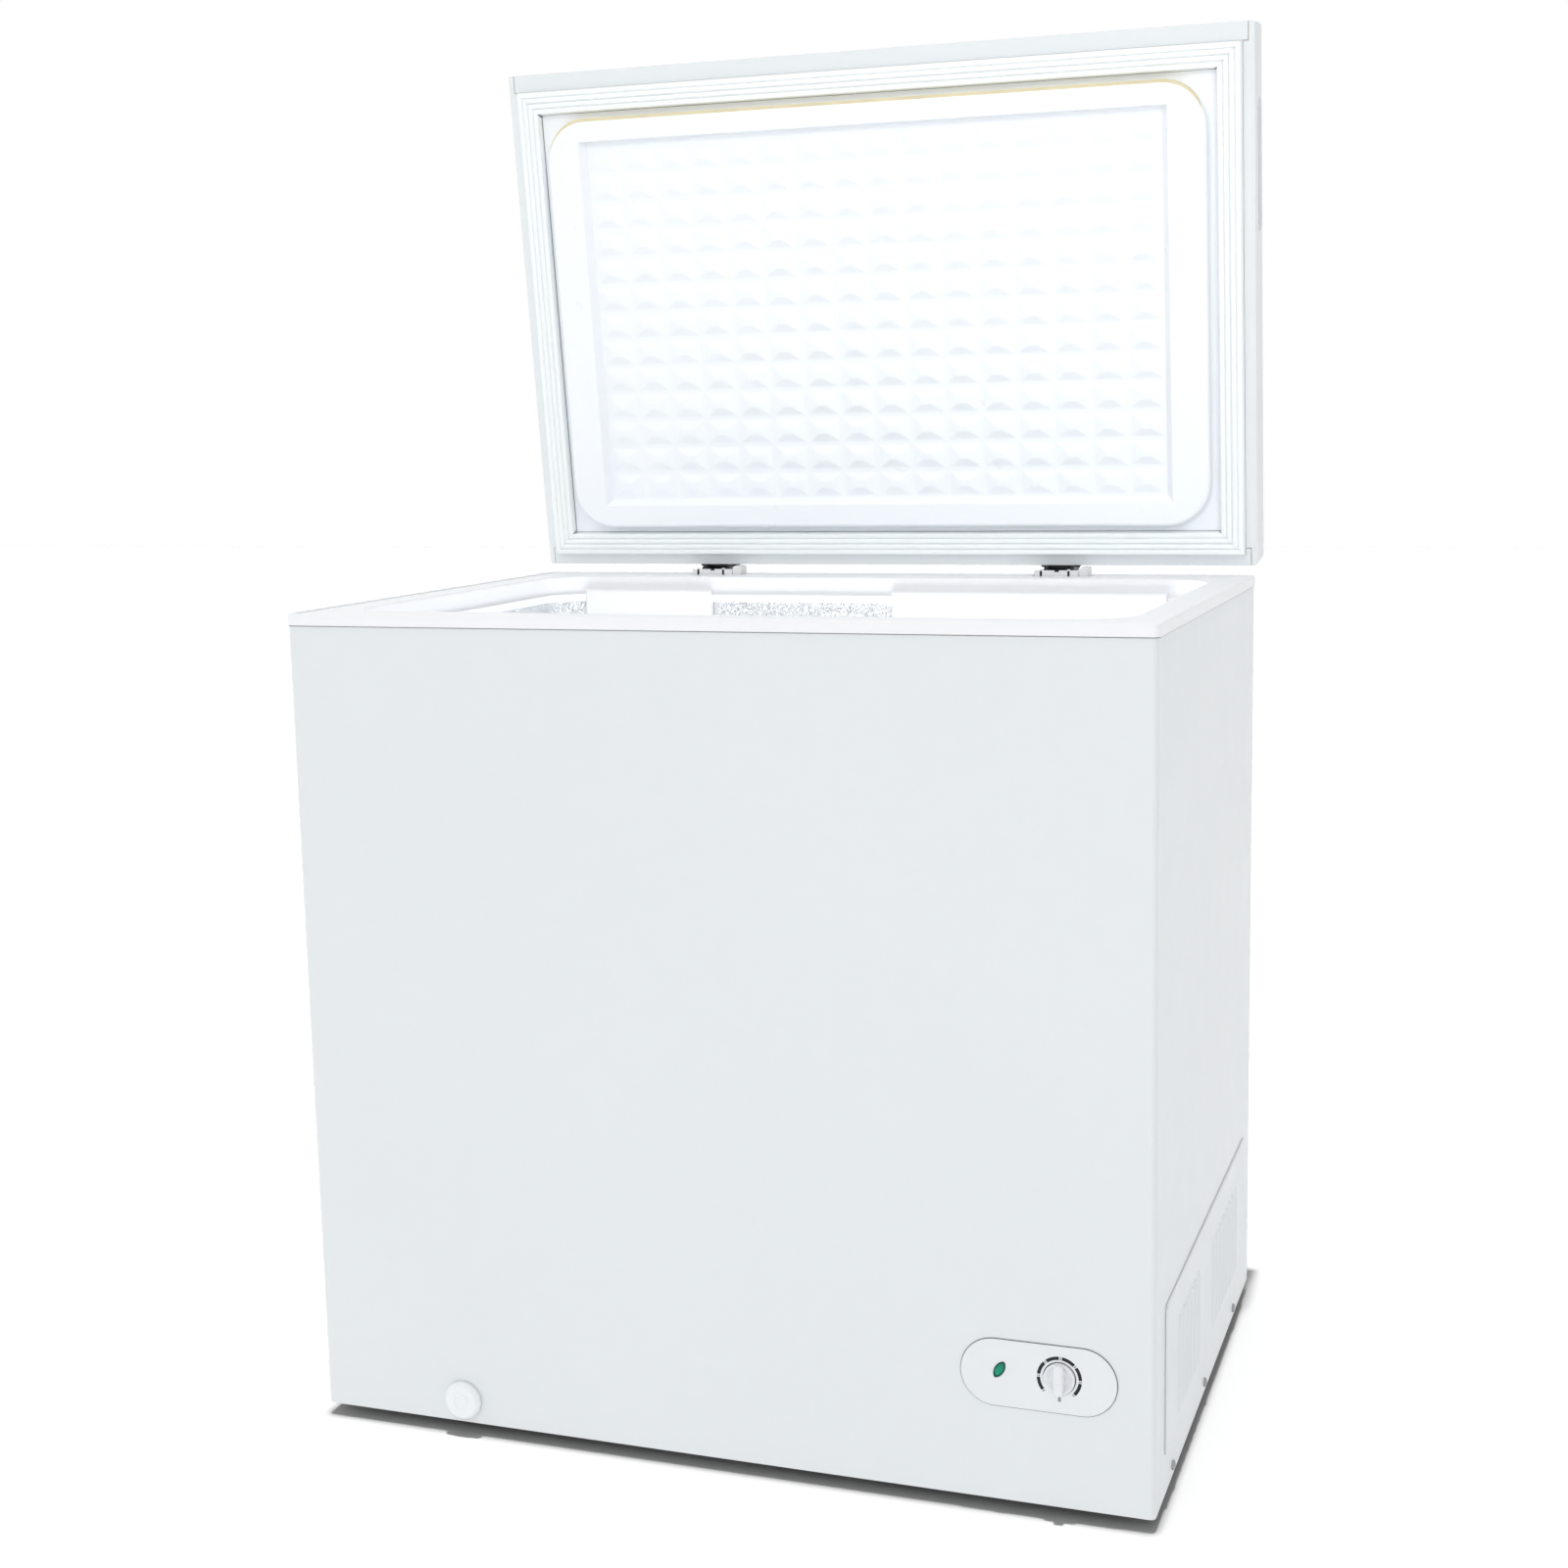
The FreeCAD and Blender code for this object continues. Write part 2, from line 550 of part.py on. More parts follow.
def sensingTube():
    """Thermostat's sensing capillary, up into the step's foam."""
    y = -wrapHalfY + 40
    return tube([(knobX, y, knobZ), (knobX, y + 22, knobZ), (bayX + 30, y + 50, 170),
                 (bayX + 30, y + 50, bayTop - 1.2)], 1.1, 8)


def wiringLoom():
    """Sleeved wires from the thermostat to the compressor's relay."""
    return tube([(knobX + 8, -wrapHalfY + 40.2, knobZ - 6), (knobX + 8, -190, knobZ - 6),
                 (foamHalfX - 12, -150, 60), (foamHalfX - 12, 20, 60),
                 (compressorX + 72, 66, padTop + 60), (compressorX + 72, 79.8, padTop + 60)], 2.6, 10)


def drainCap():
    """Round push-in cap with a bevelled rim, a thin raised ring in its middle, and its stem."""
    y = -wrapHalfY
    cap = rod((drainX, y - 7, drainZ), yAxis, drainRadius, 6.7)
    cap = cap.makeChamfer(2.6, [e for e in cap.Edges if abs(e.BoundBox.YMax - (y - 7)) < 1e-3])
    ring = ringOf((drainX, y - 7.8, drainZ), yAxis, 8.0, 6.8, 2.0)
    stem = ringOf((drainX, y - 1, drainZ), yAxis, 6.9, 4.6, 15)
    return joined([cap, ring, stem])


def floorPlug():
    """Plug in the tank's floor drain, with a finger bar."""
    z = linerFloor
    top = Part.makeCylinder(15, 2.6, Vector(drainX, 0, z + 0.3), zAxis)
    top = softened(top, 1.2, atHeight(z + 2.9))
    stem = rod((drainX, 0, z - 12), zAxis, 6.8, 13)
    bar = softened(box(drainX - 9, drainX + 9, -1.6, 1.6, z + 2, z + 11), 1.4, atHeight(z + 11))
    return joined([top, stem, bar])


feetPlaces = [(x, y) for x in (-340, 340) for y in (-215, 215)]


def feet():
    """Moulded feet under the corners."""
    made = []
    for x, y in feetPlaces:
        pad = Part.makeCone(17, 20, cabinetBottom - 0.1, Vector(x, y, 0), zAxis)
        pad = softened(pad, 1.5, atHeight(0))
        made.append(pad.cut(rod((x, y, -1), zAxis, 5.5, 6)).cut(rod((x, y, 0), zAxis, 2.1, 30)))
    return grouped(made)


def feetScrews():
    made = []
    for x, y in feetPlaces:
        made.append(panHead(x, y, 4.9, Vector(0, 0, -1), 5.0, 2.2, 2.0, 6.9))
    return grouped(made)


def sideScrews():
    return grouped([panHead(wrapHalfX, y, sideScrewZ, xAxis, 4.4, 2.4, 2.0, 9) for y in sideScrewYs])


def grilleScrewSet():
    return grouped([panHead(x, wrapHalfY + 2.0, z, yAxis, 4.0, 2.0, 1.8, 8) for x, z in grilleScrews])


# ---- Hinges -------------------------------------------------------------------------------
knuckleRadius = 3.6
pinRadius = 2.0
boreRadius = 2.06
baseHalf = 24.0         # half the width of the cabinet's leaf
leafHalf = 21.0         # half the width of the lid's leaf
cheekOuter = 16.4       # outer faces of the lid leaf's cheeks
cheekWall = 3.6
tabTop = rimTop - 2.4


def hingeBase(x):
    """Plate on the back of the cabinet, hooked over its top edge to a lip and two knuckles."""
    y = wrapHalfY
    plate = prism(x - baseHalf, x + baseHalf, 0, 2, 706, tabTop - 2, 0.5).translate(Vector(0, y + 0.1, 0))
    tab = box(x - baseHalf, x + baseHalf, hingeY - 9.4, y + 2.1, tabTop - 2, tabTop)
    lip = box(x - baseHalf, x + baseHalf, hingeY - 9.4, hingeY - 8.2, tabTop - 2, hingeZ + 1.0)
    lip = lip.cut(box(x - 2.2, x + 2.2, hingeY - 10, hingeY - 8, hingeZ - 0.6, hingeZ + 2))
    inside = cheekOuter + 0.6
    knuckles = [rod((x + a, hingeY, hingeZ), xAxis, knuckleRadius, 7) for a in (-baseHalf, baseHalf - 7)]
    hold = [box(x + a, x + a + 7, hingeY - 1, hingeY + 6, tabTop - 2, tabTop + 1)
            for a in (-baseHalf, baseHalf - 7)]
    gap = box(x - inside, x + inside, hingeY - 5.6, hingeY + 5.4, tabTop - 3, rimTop + 9)
    rib = box(x - 4, x + 4, y + 2.1, y + 5, 712, 768)
    bracket = joined([plate, tab.cut(gap), lip] + knuckles + hold + [rib])
    bracket = bracket.cut(rod((x - 30, hingeY, hingeZ), xAxis, boreRadius, 60))
    for dx, z in hingeScrewPlaces:
        bracket = bracket.cut(rod((x + dx, y - 1, z), yAxis, 2.4, 6))
    return bracket


def hingePin(x):
    head = Part.makeCylinder(3.2, 1.6, Vector(x - baseHalf - 1.8, hingeY, hingeZ), xAxis)
    return head.fuse(rod((x - baseHalf - 0.3, hingeY, hingeZ), xAxis, pinRadius, 53.3)).removeSplitter()


def hingeSpring(x):
    """Counterbalance coil round the pin, between the lid leaf's cheeks."""
    turnRadius = 3.5
    wire = 0.65
    pitch = 1.6
    reach = pitch * 15
    coil = Part.makeHelix(pitch, reach, turnRadius)
    section = Part.Wire([Part.makeCircle(wire, Vector(turnRadius, 0, 0), Vector(0, 1, 0.07))])
    wound = Part.Wire(coil).makePipeShell([section], True, True)
    wound.rotate(Vector(0, 0, 0), yAxis, 90)
    wound.translate(Vector(x - reach / 2, hingeY, hingeZ))
    return wound


def hingeLeaf(x):
    """Leaf on the lid's rear face, shut position: a screwed plate and two tapered cheeks."""
    near = lidRear + 0.2
    outline = [(hingeY - knuckleRadius, hingeZ), (hingeY + knuckleRadius, hingeZ),
               (hingeY + knuckleRadius - 1.2, lidUnder + 4), (near + 2, lidUnder + 38), (near, lidUnder + 38),
               (near, lidUnder - 4)]
    cheeks = []
    for start in (x - cheekOuter, x + cheekOuter - cheekWall):
        corners = [Vector(start, y, z) for y, z in outline + outline[:1]]
        cheeks.append(Part.Face(Part.makePolygon(corners)).extrude(xAxis * cheekWall))
        cheeks.append(rod((start, hingeY, hingeZ), xAxis, knuckleRadius, cheekWall))
    plate = prism(x - leafHalf, x + leafHalf, 0, 2, lidUnder + 0.5, lidUnder + 42, 0.5)
    web = box(x - cheekOuter, x + cheekOuter, near + 1.9, hingeY + 0.4, lidUnder + 10, lidUnder + 12)
    leaf = joined(cheeks + [plate.translate(Vector(0, near, 0)), web])
    leaf = leaf.cut(rod((x - 30, hingeY, hingeZ), xAxis, boreRadius, 60))
    for dx, dz in leafScrewPlaces:
        leaf = leaf.cut(rod((x + dx, lidRear - 1, lidUnder + dz), yAxis, 2.4, 6))
    return leaf


leafScrewPlaces = [(-7, 16), (7, 16), (-7, 33), (7, 33)]
coverNear = baseHalf + 0.4
coverFar = coverNear + 10.0
notchRight = coverFar + 1.6     # the collar's notch reaches past the cover


def hingeCover(x):
    """White rounded block over the hinge's right end, on the end of the pin."""
    cap = box(x + coverNear, x + coverFar, hingeY - 9.5, hingeY + 9.5, rimTop - 4.4, hingeZ + 7.8)
    cap = softened(cap, 2.8, lambda e: e.BoundBox.ZMin > hingeZ + 7)
    upright = [e for e in cap.Edges if abs(e.tangentAt(e.FirstParameter).z) > 0.99]
    cap = cap.makeFillet(1.6, [e for e in upright if e.BoundBox.XMin > x + coverFar - 1])
    return cap.cut(rod((x + coverNear - 4, hingeY, hingeZ), xAxis, pinRadius + 0.15, 9))


def baseScrews():
    return grouped([panHead(x + dx, wrapHalfY + 2.1, z, yAxis, 4.2, 2.0, 2.1, 10)
                    for x in hinges.values() for dx, z in hingeScrewPlaces])


def leafScrews():
    return grouped([panHead(x + dx, lidRear + 2.2, lidUnder + dz, yAxis, 4.0, 1.8, 2.1, 9)
                    for x in hinges.values() for dx, dz in leafScrewPlaces])


def backingPlate(x, y0, z0, z1, places):
    """Steel plate in the foam that the hinge screws bite into."""
    plate = box(x - 27, x + 27, y0, y0 + 2, z0, z1)
    for px, pz in places:
        plate = plate.cut(rod((px, y0 - 1, pz), yAxis, 2.2, 4))
    return plate


def cabinetBacking():
    return grouped([backingPlate(x, foamHalfY - 2.1, 708, rimTop - 12,
                                 [(x + dx, z) for dx, z in hingeScrewPlaces])
                    for x in hinges.values()])


def lidBacking():
    return grouped([backingPlate(x, lidRear - sheet - 2.1, lidUnder + 6, lidUnder + 44,
                                 [(x + dx, lidUnder + dz) for dx, dz in leafScrewPlaces])
                    for x in hinges.values()])


# ---- Lid, drawn shut ----------------------------------------------------------------------
gripHalf = 65.5         # long finger recess on each side of the lid
gripY = lidRear - 404.5
gripZ = lidUnder + 36.0
gripRadius = 14.5
gripDepth = 7.0


def gripRecess(side, grow):
    start = Vector(side * (lidHalfX + 1), gripY, gripZ)
    axis = xAxis * (-side)
    return slotPrism(start, axis, gripHalf + grow, gripRadius + grow, gripDepth + 1 + grow, yAxis)


def lidOutline(inset, z0, z1, radius):
    return prism(-lidHalfX + inset, lidHalfX - inset, lidFront + inset, lidRear - inset, z0, z1, radius)


def lidShell():
    """Pressed steel outer: top, four walls and the flange folded under them."""
    outer = softened(lidOutline(0, lidUnder, lidTop, 3.0), 4.5, atHeight(lidTop))
    inner = softened(lidOutline(sheet, lidUnder + sheet, lidTop - sheet, 2.2), 3.7, atHeight(lidTop - sheet))
    window = box(-lidHalfX + gasketSide, lidHalfX - gasketSide, lidFront + gasketFront,
                 lidRear - gasketSide, lidUnder - 1, lidUnder + 5)
    shell = outer.cut(inner).cut(window)
    for side in (-1, 1):
        cup = gripRecess(side, sheet).common(outer).cut(gripRecess(side, 0))
        shell = shell.cut(gripRecess(side, 0)).fuse(cup)
    for x in hinges.values():
        for dx, dz in leafScrewPlaces:
            shell = shell.cut(rod((x + dx, lidRear - 4, lidUnder + dz), yAxis, 2.3, 8))
    for side in (-1, 1):
        for y0, y1 in ((lidFront - 1, lidFront + cornerTab), (lidRear - cornerTab, lidRear + 1)):
            shell = shell.cut(cornerSeam(side, y0, y1))
    return shell.removeSplitter()


cornerTab = 18.5        # the folded tabs at the flange's corners


def cornerSeam(side, y0, y1):
    """L-shaped gap where a side flange meets the front or rear one."""
    seam = side * (lidHalfX - 6.0)
    inner = side * (lidHalfX - gasketSide - 1)
    turn = y1 if y0 < lidFront else y0
    along = box(seam - 0.35, seam + 0.35, y0, y1, lidUnder - 1, lidUnder + sheet + 0.1)
    across = box(min(seam, inner), max(seam, inner), turn - 0.35, turn + 0.35, lidUnder - 1,
                 lidUnder + sheet + 0.1)
    return along.fuse(across)


trayHalfX = 321.0
trayRear = lidRear - 70.0
trayFront = lidRear - 467.0
trayFloor = lidUnder - plugHeight + trayDepth
trayDraft = 6.0
valley = 2.4            # half the flat strip between two pyramids


def behindPlug():
    """Space behind the formed plug and tray, which the lid's foam fills."""
    wall = 2.0
    face = lidUnder - plugHeight
    space = prism(-360 + wall, 360 - wall, lidRear - 494 + wall, lidRear - 44 - wall, face + wall,
                  lidUnder + 2.0, 45.0 - wall)
    sunken = Part.makeLoft([trayWire(trayDraft, wall, trayFloor + wall), trayWire(0, wall, face)], True)
    return space.cut(sunken)


def lidLiner():
    """Vacuum-formed inner panel: seal land, rounded plug, and a tray full of low pyramids."""
    land = box(-lidHalfX + gasketSide + 0.3, lidHalfX - gasketSide - 0.3, lidFront + gasketFront + 0.3,
               lidRear - gasketSide - 0.3, lidUnder - 0.6, lidUnder + 2.0)
    plug = prism(-360, 360, lidRear - 494, lidRear - 44, lidUnder - plugHeight, lidUnder + 1, 45.0)
    plug = softened(plug, 3.5, atHeight(lidUnder - plugHeight))
    face = lidUnder - plugHeight
    tray = Part.makeLoft([trayWire(trayDraft, 0, trayFloor), trayWire(0, 0, face - 0.01)], True)
    panel = land.fuse(plug).cut(tray).cut(behindPlug())
    pitchX = 2 * (trayHalfX - trayDraft) / pyramidColumns
    pitchY = (trayRear - trayFront - 2 * trayDraft) / pyramidRows
    studs = []
    for column in range(pyramidColumns):
        for row in range(pyramidRows):
            x = -trayHalfX + trayDraft + pitchX * (column + 0.5)
            y = trayFront + trayDraft + pitchY * (row + 0.5)
            studs.append(pyramid(x, y, pitchX / 2 - valley, pitchY / 2 - valley))
    return panel.multiFuse(studs)


def trayWire(draft, grow, z):
    """Outline of the tray's wall; its front wall leans a sixth as much as the others."""
    x = trayHalfX - draft + grow
    y0 = trayFront + draft / 6 - grow
    y1 = trayRear - draft + grow
    return Part.makePolygon([Vector(-x, y0, z), Vector(x, y0, z), Vector(x, y1, z), Vector(-x, y1, z),
                             Vector(-x, y0, z)])


def pyramid(x, y, halfX, halfY):
    """Low four-sided boss that points away from the panel, flattened at its tip."""
    def square(size, z):
        return Part.makePolygon([Vector(x + a * halfX * size, y + b * halfY * size, z)
                                 for a, b in ((-1, -1), (1, -1), (1, 1), (-1, 1), (-1, -1))])
    return Part.makeLoft([square(1.0, trayFloor + 0.2), square(0.2, trayFloor - 4.6)], True)


def lidFoam():
    top = lidTop - sheet - 0.1
    foam = softened(lidOutline(sheet + 0.1, lidUnder + 2.0, top, 2.0), 3.8, atHeight(top))
    foam = foam.fuse(behindPlug())
    for x in hinges.values():
        foam = foam.cut(box(x - 27.1, x + 27.1, lidRear - sheet - 2.2, 500, lidUnder + 5.9, lidUnder + 44.1))
        for dx, dz in leafScrewPlaces:
            foam = foam.cut(rod((x + dx, lidRear - 12, lidUnder + dz), yAxis, 2.3, 20))
    for side in (-1, 1):
        foam = foam.cut(gripRecess(side, sheet + 0.2))
    return foam


def lidGasket():
    """Ribbed seal, mitred at its corners: a low base with four round ribs and an inner lip."""
    outer = [-lidHalfX + gasketSide + 0.4, lidHalfX - gasketSide - 0.4,
             lidFront + gasketFront + 0.4, lidRear - gasketSide - 0.4]
    top = lidUnder - 0.65

    def frame(near, far, z):
        wide = box(outer[0] + near, outer[1] - near, outer[2] + near, outer[3] - near, z, top)
        hole = box(outer[0] + far, outer[1] - far, outer[2] + far, outer[3] - far, z - 1, top + 1)
        return wide.cut(hole)

    rings = [frame(0, gasketWidth, top - 6.0)]
    for i, drop in enumerate((1.4, 0.0, 0.0, 0.8)):
        rings.append(frame(1.6 + 6.0 * i, 5.6 + 6.0 * i, lidUnder - gasketHeight + drop))
    return joined(rings)


# ---- All nodes ----------------------------------------------------------------------------
parts["outer_wrap"] = outerWrap()
parts["rear_panel"] = rearPanel()
parts["rear_grille"] = rearGrille()
parts["bottom_plate"] = bottomPlate()
parts["bay_base"] = bayBase()
parts["bay_housing"] = bayHousing()
parts["inner_liner"] = innerLiner()
parts["collar"] = collar()
parts["evaporator_tube"] = evaporatorTube()
parts["condenser_tube"] = condenserTube()
parts["cabinet_foam"] = cabinetFoam()
parts["compressor_shell"] = compressorShell()
parts["compressor_feet"] = compressorFeet()
parts["compressor_grommets"] = compressorGrommets()
parts["compressor_bolts"] = compressorBoltSet()
parts["relay_cover"] = relayCover()
parts["filter_drier"] = filterDrier()
parts["suction_pipe"] = suctionPipe()
parts["discharge_pipe"] = dischargePipe()
parts["capillary_tube"] = capillaryTube()
parts["cord_gland"] = cordGland()
parts["control_bezel"] = controlBezel()
parts["lamp_lens"] = lampLens()
parts["lamp_holder"] = lampHolder()
parts["thermostat_knob"] = knob()
parts["thermostat"] = thermostat()
parts["sensing_tube"] = sensingTube()
parts["wiring_loom"] = wiringLoom()
parts["drain_tube"] = drainTube()
parts["drain_cap"] = drainCap()
parts["floor_plug"] = floorPlug()
parts["feet"] = feet()
parts["feet_screws"] = feetScrews()
parts["side_screws"] = sideScrews()
parts["grille_screws"] = grilleScrewSet()
for side, x in hinges.items():
    parts["hinge_base_" + side] = hingeBase(x)
    parts["hinge_pin_" + side] = hingePin(x)
    parts["hinge_spring_" + side] = hingeSpring(x)
    parts["hinge_cover_" + side] = hingeCover(x)
    parts["hinge_leaf_" + side] = hingeLeaf(x)
    lidNodes.append("hinge_leaf_" + side)
parts["hinge_base_screws"] = baseScrews()
parts["cabinet_backing_plates"] = cabinetBacking()
parts["hinge_leaf_screws"] = leafScrews()
parts["lid_backing_plates"] = lidBacking()
parts["lid_shell"] = lidShell()
parts["lid_liner"] = lidLiner()
parts["lid_foam"] = lidFoam()
parts["lid_gasket"] = lidGasket()
lidNodes += ["hinge_leaf_screws", "lid_backing_plates", "lid_shell", "lid_liner", "lid_foam", "lid_gasket"]

for name in lidNodes:
    parts[name].rotate(Vector(0, hingeY, hingeZ), xAxis, -lidOpenAngle)

whole = Part.makeCompound(list(parts.values())).optimalBoundingBox(False)
shift = Vector(-(whole.XMin + whole.XMax) / 2, -(whole.YMin + whole.YMax) / 2, -whole.ZMin)
os.makedirs("parts", exist_ok=True)
for name, shape in parts.items():
    shape.translate(shift)
    shape.exportStep("parts/" + name + ".step")
    solids = len(shape.Solids)
    print(f"{name}: {solids} solid(s), {shape.Volume / 1000:.1f} cm3, valid {shape.isValid()}")
size = Part.makeCompound(list(parts.values())).optimalBoundingBox(False)
print("origin moved by", shift)
print("box", size)
print("hinge axis", Vector(0, hingeY, hingeZ) + shift)
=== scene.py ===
import json
import math
import bmesh
import bpy
from mathutils import Matrix, Vector


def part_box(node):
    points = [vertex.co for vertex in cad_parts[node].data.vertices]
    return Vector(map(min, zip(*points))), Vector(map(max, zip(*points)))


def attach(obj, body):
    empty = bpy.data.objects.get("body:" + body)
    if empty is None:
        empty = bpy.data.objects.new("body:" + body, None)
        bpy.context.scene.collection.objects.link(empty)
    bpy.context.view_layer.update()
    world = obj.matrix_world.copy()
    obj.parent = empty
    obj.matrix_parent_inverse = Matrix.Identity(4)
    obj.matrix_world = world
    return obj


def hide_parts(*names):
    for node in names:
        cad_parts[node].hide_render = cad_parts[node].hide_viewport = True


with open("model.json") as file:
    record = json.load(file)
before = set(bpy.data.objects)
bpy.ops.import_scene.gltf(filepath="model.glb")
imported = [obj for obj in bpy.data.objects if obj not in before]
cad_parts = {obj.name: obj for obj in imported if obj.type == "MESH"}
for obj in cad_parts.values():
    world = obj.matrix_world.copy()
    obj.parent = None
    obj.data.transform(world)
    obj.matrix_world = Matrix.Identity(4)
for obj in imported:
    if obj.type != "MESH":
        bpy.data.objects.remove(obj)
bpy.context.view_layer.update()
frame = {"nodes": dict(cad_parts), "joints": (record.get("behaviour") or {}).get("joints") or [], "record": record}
nodes = frame["nodes"]
joints = {joint["name"]: joint for joint in frame["joints"]}
print("frame loaded:", len(nodes), "nodes")


# camera, floor and lights
camera = {
    "place": (0.7140, -2.0441, 0.9429),
    "turn": (81.63, 1.05, 18.81),      # degrees
    "lens": 50.14,
    "shift": (-0.0242, -0.0242),
}


def placeCamera():
    data = bpy.data.cameras.new("camera")
    data.sensor_width = 36.0
    data.lens = camera["lens"]
    data.shift_x, data.shift_y = camera["shift"]
    data.clip_end = 60.0
    eye = bpy.data.objects.new("camera", data)
    eye.location = camera["place"]
    eye.rotation_euler = [math.radians(a) for a in camera["turn"]]
    bpy.context.scene.collection.objects.link(eye)
    bpy.context.scene.camera = eye


softboxes = {
    # name: place, aim, size, watts, spread in degrees
    "keyLight": ((0.9, -3.4, 2.9), (0.1, 0.0, 0.9), (1.6, 1.4), 16.0, 180),
    "topLight": ((0.1, -0.6, 3.4), (0.0, 0.0, 0.6), (2.4, 2.0), 6.0, 180),
    "lidLight": ((1.5, -1.7, 2.2), (0.0, 0.2, 0.95), (0.5, 0.4), 2.8, 100),
    "lowLight": ((0.4, -1.5, 1.0), (0.0, 0.25, 0.84), (0.5, 0.3), 0.6, 70),
    "tankLight": ((0.0, -0.02, 0.32), (0.0, 0.10, 1.0), (0.6, 0.35), 3.2, 180),
}
studio = {
    "white": 1.0,
    "dim": 0.56,            # the wall of the studio on the right
    "turnsDim": (0.10, 0.85),
    "near": 0.90,           # the wall behind the camera
    "turnsNear": (0.25, -0.75),
    "floorSun": 6.6,        # falls on the floor only, from overhead
    "sunAngle": 1.0,
    "only": {               # lights that fall on these alone
        "lidLight": ("lid_panel", "lid_seal"),
        "lowLight": ("lid_panel", "lid_seal", "lid_shell"),
        "tankLight": ("collar", "inner_liner"),
        "floorSun": ("floor",),
    },
}


def placeLights():
    for name, (place, aim, size, watts, spread) in softboxes.items():
        data = bpy.data.lights.new(name, "AREA")
        data.shape = "RECTANGLE"
        data.size, data.size_y = size
        data.energy = watts
        data.spread = math.radians(spread)
        light = bpy.data.objects.new(name, data)
        light.location = place
        towards = Vector(aim) - Vector(place)
        light.rotation_euler = towards.to_track_quat("-Z", "Y").to_euler()
        bpy.context.scene.collection.objects.link(light)
    world = bpy.data.worlds.new("studio")
    world.use_nodes = True
    tree = world.node_tree
    background = tree.nodes["Background"]
    background.inputs["Color"].default_value = (1.0, 1.0, 1.0, 1.0)
    way = tree.nodes.new("ShaderNodeTexCoord")
    apart = tree.nodes.new("ShaderNodeSeparateXYZ")
    tree.links.new(way.outputs["Generated"], apart.inputs[0])
    both = tree.nodes.new("ShaderNodeMath")
    both.operation = "MULTIPLY"
    walls = (("X", studio["turnsDim"], studio["dim"]), ("Y", studio["turnsNear"], studio["near"]))
    for i, (axis, turns, shade) in enumerate(walls):
        fade = tree.nodes.new("ShaderNodeMapRange")
        fade.interpolation_type = "SMOOTHSTEP"
        tree.links.new(apart.outputs[axis], fade.inputs["Value"])
        for socket, value in zip(("From Min", "From Max", "To Min", "To Max"),
                                 (*turns, studio["white"], shade)):
            fade.inputs[socket].default_value = value
        tree.links.new(fade.outputs["Result"], both.inputs[i])
    tree.links.new(both.outputs[0], background.inputs["Strength"])
    bpy.context.scene.world = world
    bpy.context.scene.view_settings.view_transform = "Standard"


placeCamera()
placeLights()
print("camera and lights placed")


# materials
class Finish:

    def __init__(self, name, colour, roughness, **sockets):
        self.material = bpy.data.materials.new(name)
        self.material.use_nodes = True
        self.tree = self.material.node_tree
        self.shader = self.tree.nodes["Principled BSDF"]
        self.shader.inputs["Base Color"].default_value = (*colour, 1.0)
        self.shader.inputs["Roughness"].default_value = roughness
        for socket, value in sockets.items():
            self.shader.inputs[socket.replace("_", " ")].default_value = value
        self.colour = colour
        self.roughness = roughness
        self.place = self.add("ShaderNodeTexCoord").outputs["Object"]

    def add(self, kind, inputs=None, **settings):
        made = self.tree.nodes.new(kind)
        for key, value in settings.items():
            setattr(made, key, value)
        for key, value in (inputs or {}).items():
            if isinstance(value, bpy.types.NodeSocket):
                self.tree.links.new(value, made.inputs[key])
            else:
                made.inputs[key].default_value = value
        return made

    def noise(self, scale, detail=2.0, roughness=0.5, distortion=0.0):
        made = self.add("ShaderNodeTexNoise", {"Vector": self.place, "Scale": scale,
                                               "Detail": detail, "Roughness": roughness,
                                               "Distortion": distortion})
        return made.outputs["Fac"]

    def range(self, value, low, high, toLow, toHigh):
        made = self.add("ShaderNodeMapRange", {"Value": value, "From Min": low, "From Max": high,
                                               "To Min": toLow, "To Max": toHigh})
        return made.outputs["Result"]

    def mottle(self, scale, amount, tint=None, detail=3.0):
        tint = tint or tuple(c * (1.0 - amount) for c in self.colour)
        mix = self.add("ShaderNodeMix", {"Factor": self.range(self.noise(scale, detail), 0.3, 0.7, 0, 1)},
                       data_type="RGBA")
        mix.inputs[6].default_value = (*self.colour, 1.0)
        mix.inputs[7].default_value = (*tint, 1.0)
        self.tree.links.new(mix.outputs[2], self.shader.inputs["Base Color"])
        return self

    def sheen(self, scale, spread):
        low, high = self.roughness - spread, self.roughness + spread
        value = self.range(self.noise(scale, 4.0), 0.25, 0.75, low, high)
        self.tree.links.new(value, self.shader.inputs["Roughness"])
        return self

    def relief(self, height, depth, strength=1.0):
        inputs = {"Height": height, "Distance": depth, "Strength": strength}
        if self.shader.inputs["Normal"].is_linked:
            inputs["Normal"] = self.shader.inputs["Normal"].links[0].from_socket
        bump = self.add("ShaderNodeBump", inputs)
        self.tree.links.new(bump.outputs["Normal"], self.shader.inputs["Normal"])
        return self


def coatedSteel(name, colour, roughness, grain=0.00008):
    made = Finish(name, colour, roughness, Specular_IOR_Level=0.5, Coat_Weight=0.15, Coat_Roughness=0.18)
    made.mottle(3.0, 0.012).sheen(24.0, 0.05)
    cells = made.add("ShaderNodeTexVoronoi", {"Vector": made.place, "Scale": 620.0}, feature="SMOOTH_F1")
    made.relief(cells.outputs["Distance"], grain, 0.5)
    return made.relief(made.noise(1500.0, 3.0, 0.6), grain * 0.6, 0.35)


def mouldedPlastic(name, colour, roughness, grain=0.00002):
    made = Finish(name, colour, roughness, Specular_IOR_Level=0.5)
    made.mottle(9.0, 0.015).sheen(60.0, 0.04)
    return made.relief(made.noise(900.0, 4.0, 0.6), grain, 0.5)


